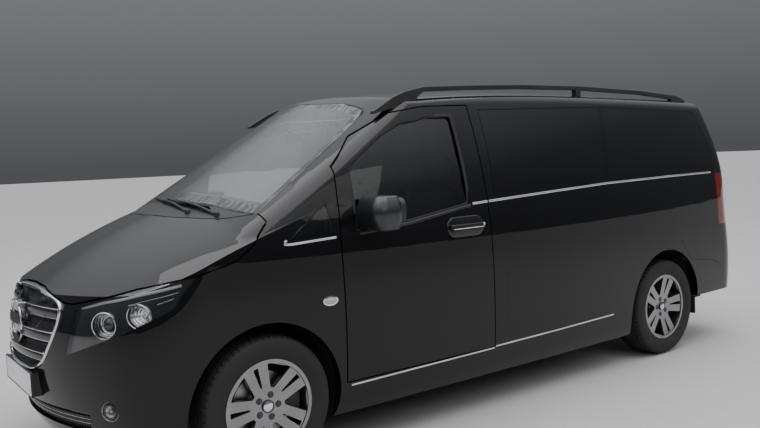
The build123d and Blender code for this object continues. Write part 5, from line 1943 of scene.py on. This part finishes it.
@dataclass
class Studio:
    """Camera at the photograph's place, pale floor and soft lights."""

    position: Point = (3.3818, 4.1631, 1.4896)
    yaw: float = 233.393
    pitch: float = -4.109
    roll: float = -2.520
    focal_pixels: float = 781.51
    picture_width: int = 760
    floor_size: float = 240.0

    def camera(self) -> bpy.types.Object:
        """Camera whose axes are worked out from yaw, pitch and roll.

        Returns:
            The camera, set as the scene's own.
        """
        yaw, pitch, roll = (math.radians(a) for a in (self.yaw, self.pitch, self.roll))
        ahead = Vector((math.cos(yaw) * math.cos(pitch), math.sin(yaw) * math.cos(pitch), math.sin(pitch)))
        right = ahead.cross(Vector((0, 0, 1))).normalized()
        up = right.cross(ahead)
        c, s = math.cos(roll), math.sin(roll)
        turned_right, turned_up = c * right + s * up, -s * right + c * up
        data = bpy.data.cameras.new("camera")
        data.sensor_width = SENSOR_WIDTH
        data.lens = self.focal_pixels * SENSOR_WIDTH / self.picture_width
        data.clip_end = 200.0
        made = bpy.data.objects.new("camera", data)
        turn = Matrix((turned_right, turned_up, -ahead)).transposed().to_4x4()
        made.matrix_world = Matrix.Translation(self.position) @ turn
        bpy.context.scene.collection.objects.link(made)
        bpy.context.scene.camera = made
        return made

    def floor(self) -> None:
        """Plain pale floor, one large square."""
        half = self.floor_size / 2
        grid = np.array([[[-half, -half, 0], [-half, half, 0]], [[half, -half, 0], [half, half, 0]]], float)
        finish = Finish("pale_floor", (0.56, 0.555, 0.545), 0.7, mottle=0.015).make()
        made = Shape().grid(grid).build("floor", finish, smooth=False)

    def area(self, name: str, at: Point, towards: Point, size: Pair, power: float) -> None:
        """One rectangular soft light.

        Args:
            name: name of the light.
            at: its place.
            towards: the point that it faces.
            size: width and height.
            power: watts.
        """
        data = bpy.data.lights.new(name, "AREA")
        data.shape = "RECTANGLE"
        data.size, data.size_y = size
        data.energy = power
        made = bpy.data.objects.new(name, data)
        way = Vector(towards) - Vector(at)
        made.matrix_world = Matrix.Translation(at) @ way.to_track_quat("-Z", "Y").to_matrix().to_4x4()
        bpy.context.scene.collection.objects.link(made)

    def world(self) -> None:
        """Sky that is pale above and darker near the ground, so that the dark paint shows its form."""
        world = bpy.data.worlds.new("studio")
        world.use_nodes = True
        tree = world.node_tree
        back = tree.nodes["Background"]
        source = tree.nodes.new("ShaderNodeTexCoord")
        parts = tree.nodes.new("ShaderNodeSeparateXYZ")
        ramp = tree.nodes.new("ShaderNodeValToRGB")
        ramp.color_ramp.elements[0].position = 0.0
        ramp.color_ramp.elements[0].color = (0.06, 0.063, 0.068, 1)
        ramp.color_ramp.elements[1].position = 0.72
        ramp.color_ramp.elements[1].color = (0.95, 0.96, 1.0, 1)
        middle = ramp.color_ramp.elements.new(0.3)
        middle.color = (0.17, 0.176, 0.19, 1)
        tree.links.new(source.outputs["Generated"], parts.inputs["Vector"])
        tree.links.new(parts.outputs["Z"], ramp.inputs["Fac"])
        tree.links.new(ramp.outputs["Color"], back.inputs["Color"])
        back.inputs["Strength"].default_value = 1.35
        bpy.context.scene.world = world

    def build(self) -> None:
        """Sets the whole stage."""
        self.camera()
        self.floor()
        self.world()
        self.area("overhead", (0.5, 0.5, 9.5), (0.3, 0.2, 0.0), (12.0, 9.0), 560)
        self.area("side_fill", (-0.5, 11.0, 6.0), (-0.3, 0.0, 0.6), (12.0, 3.0), 90)


def main() -> None:
    """Builds every group in order."""
    logging.basicConfig(level=logging.INFO, format="%(message)s")
    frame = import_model()
    palette = Palette()
    Studio().build()
    dress_nodes(frame, palette)
    for axle in Axle:
        for side in Side:
            Wheel(axle, side).build(frame, palette)
    Trims(frame, palette).build()
    Grille(frame, palette).build()
    Intake(frame, palette).build()
    for side in Side:
        Headlamp(side).build(frame, palette)
        FogLamp(side).build(palette)
    Fittings(frame, palette).build()
    for wiper in WIPERS:
        wiper.build(frame, palette)
    Cabin(frame, palette).build()
    EngineBay(palette).build()


if __name__ == "__main__":
    main()
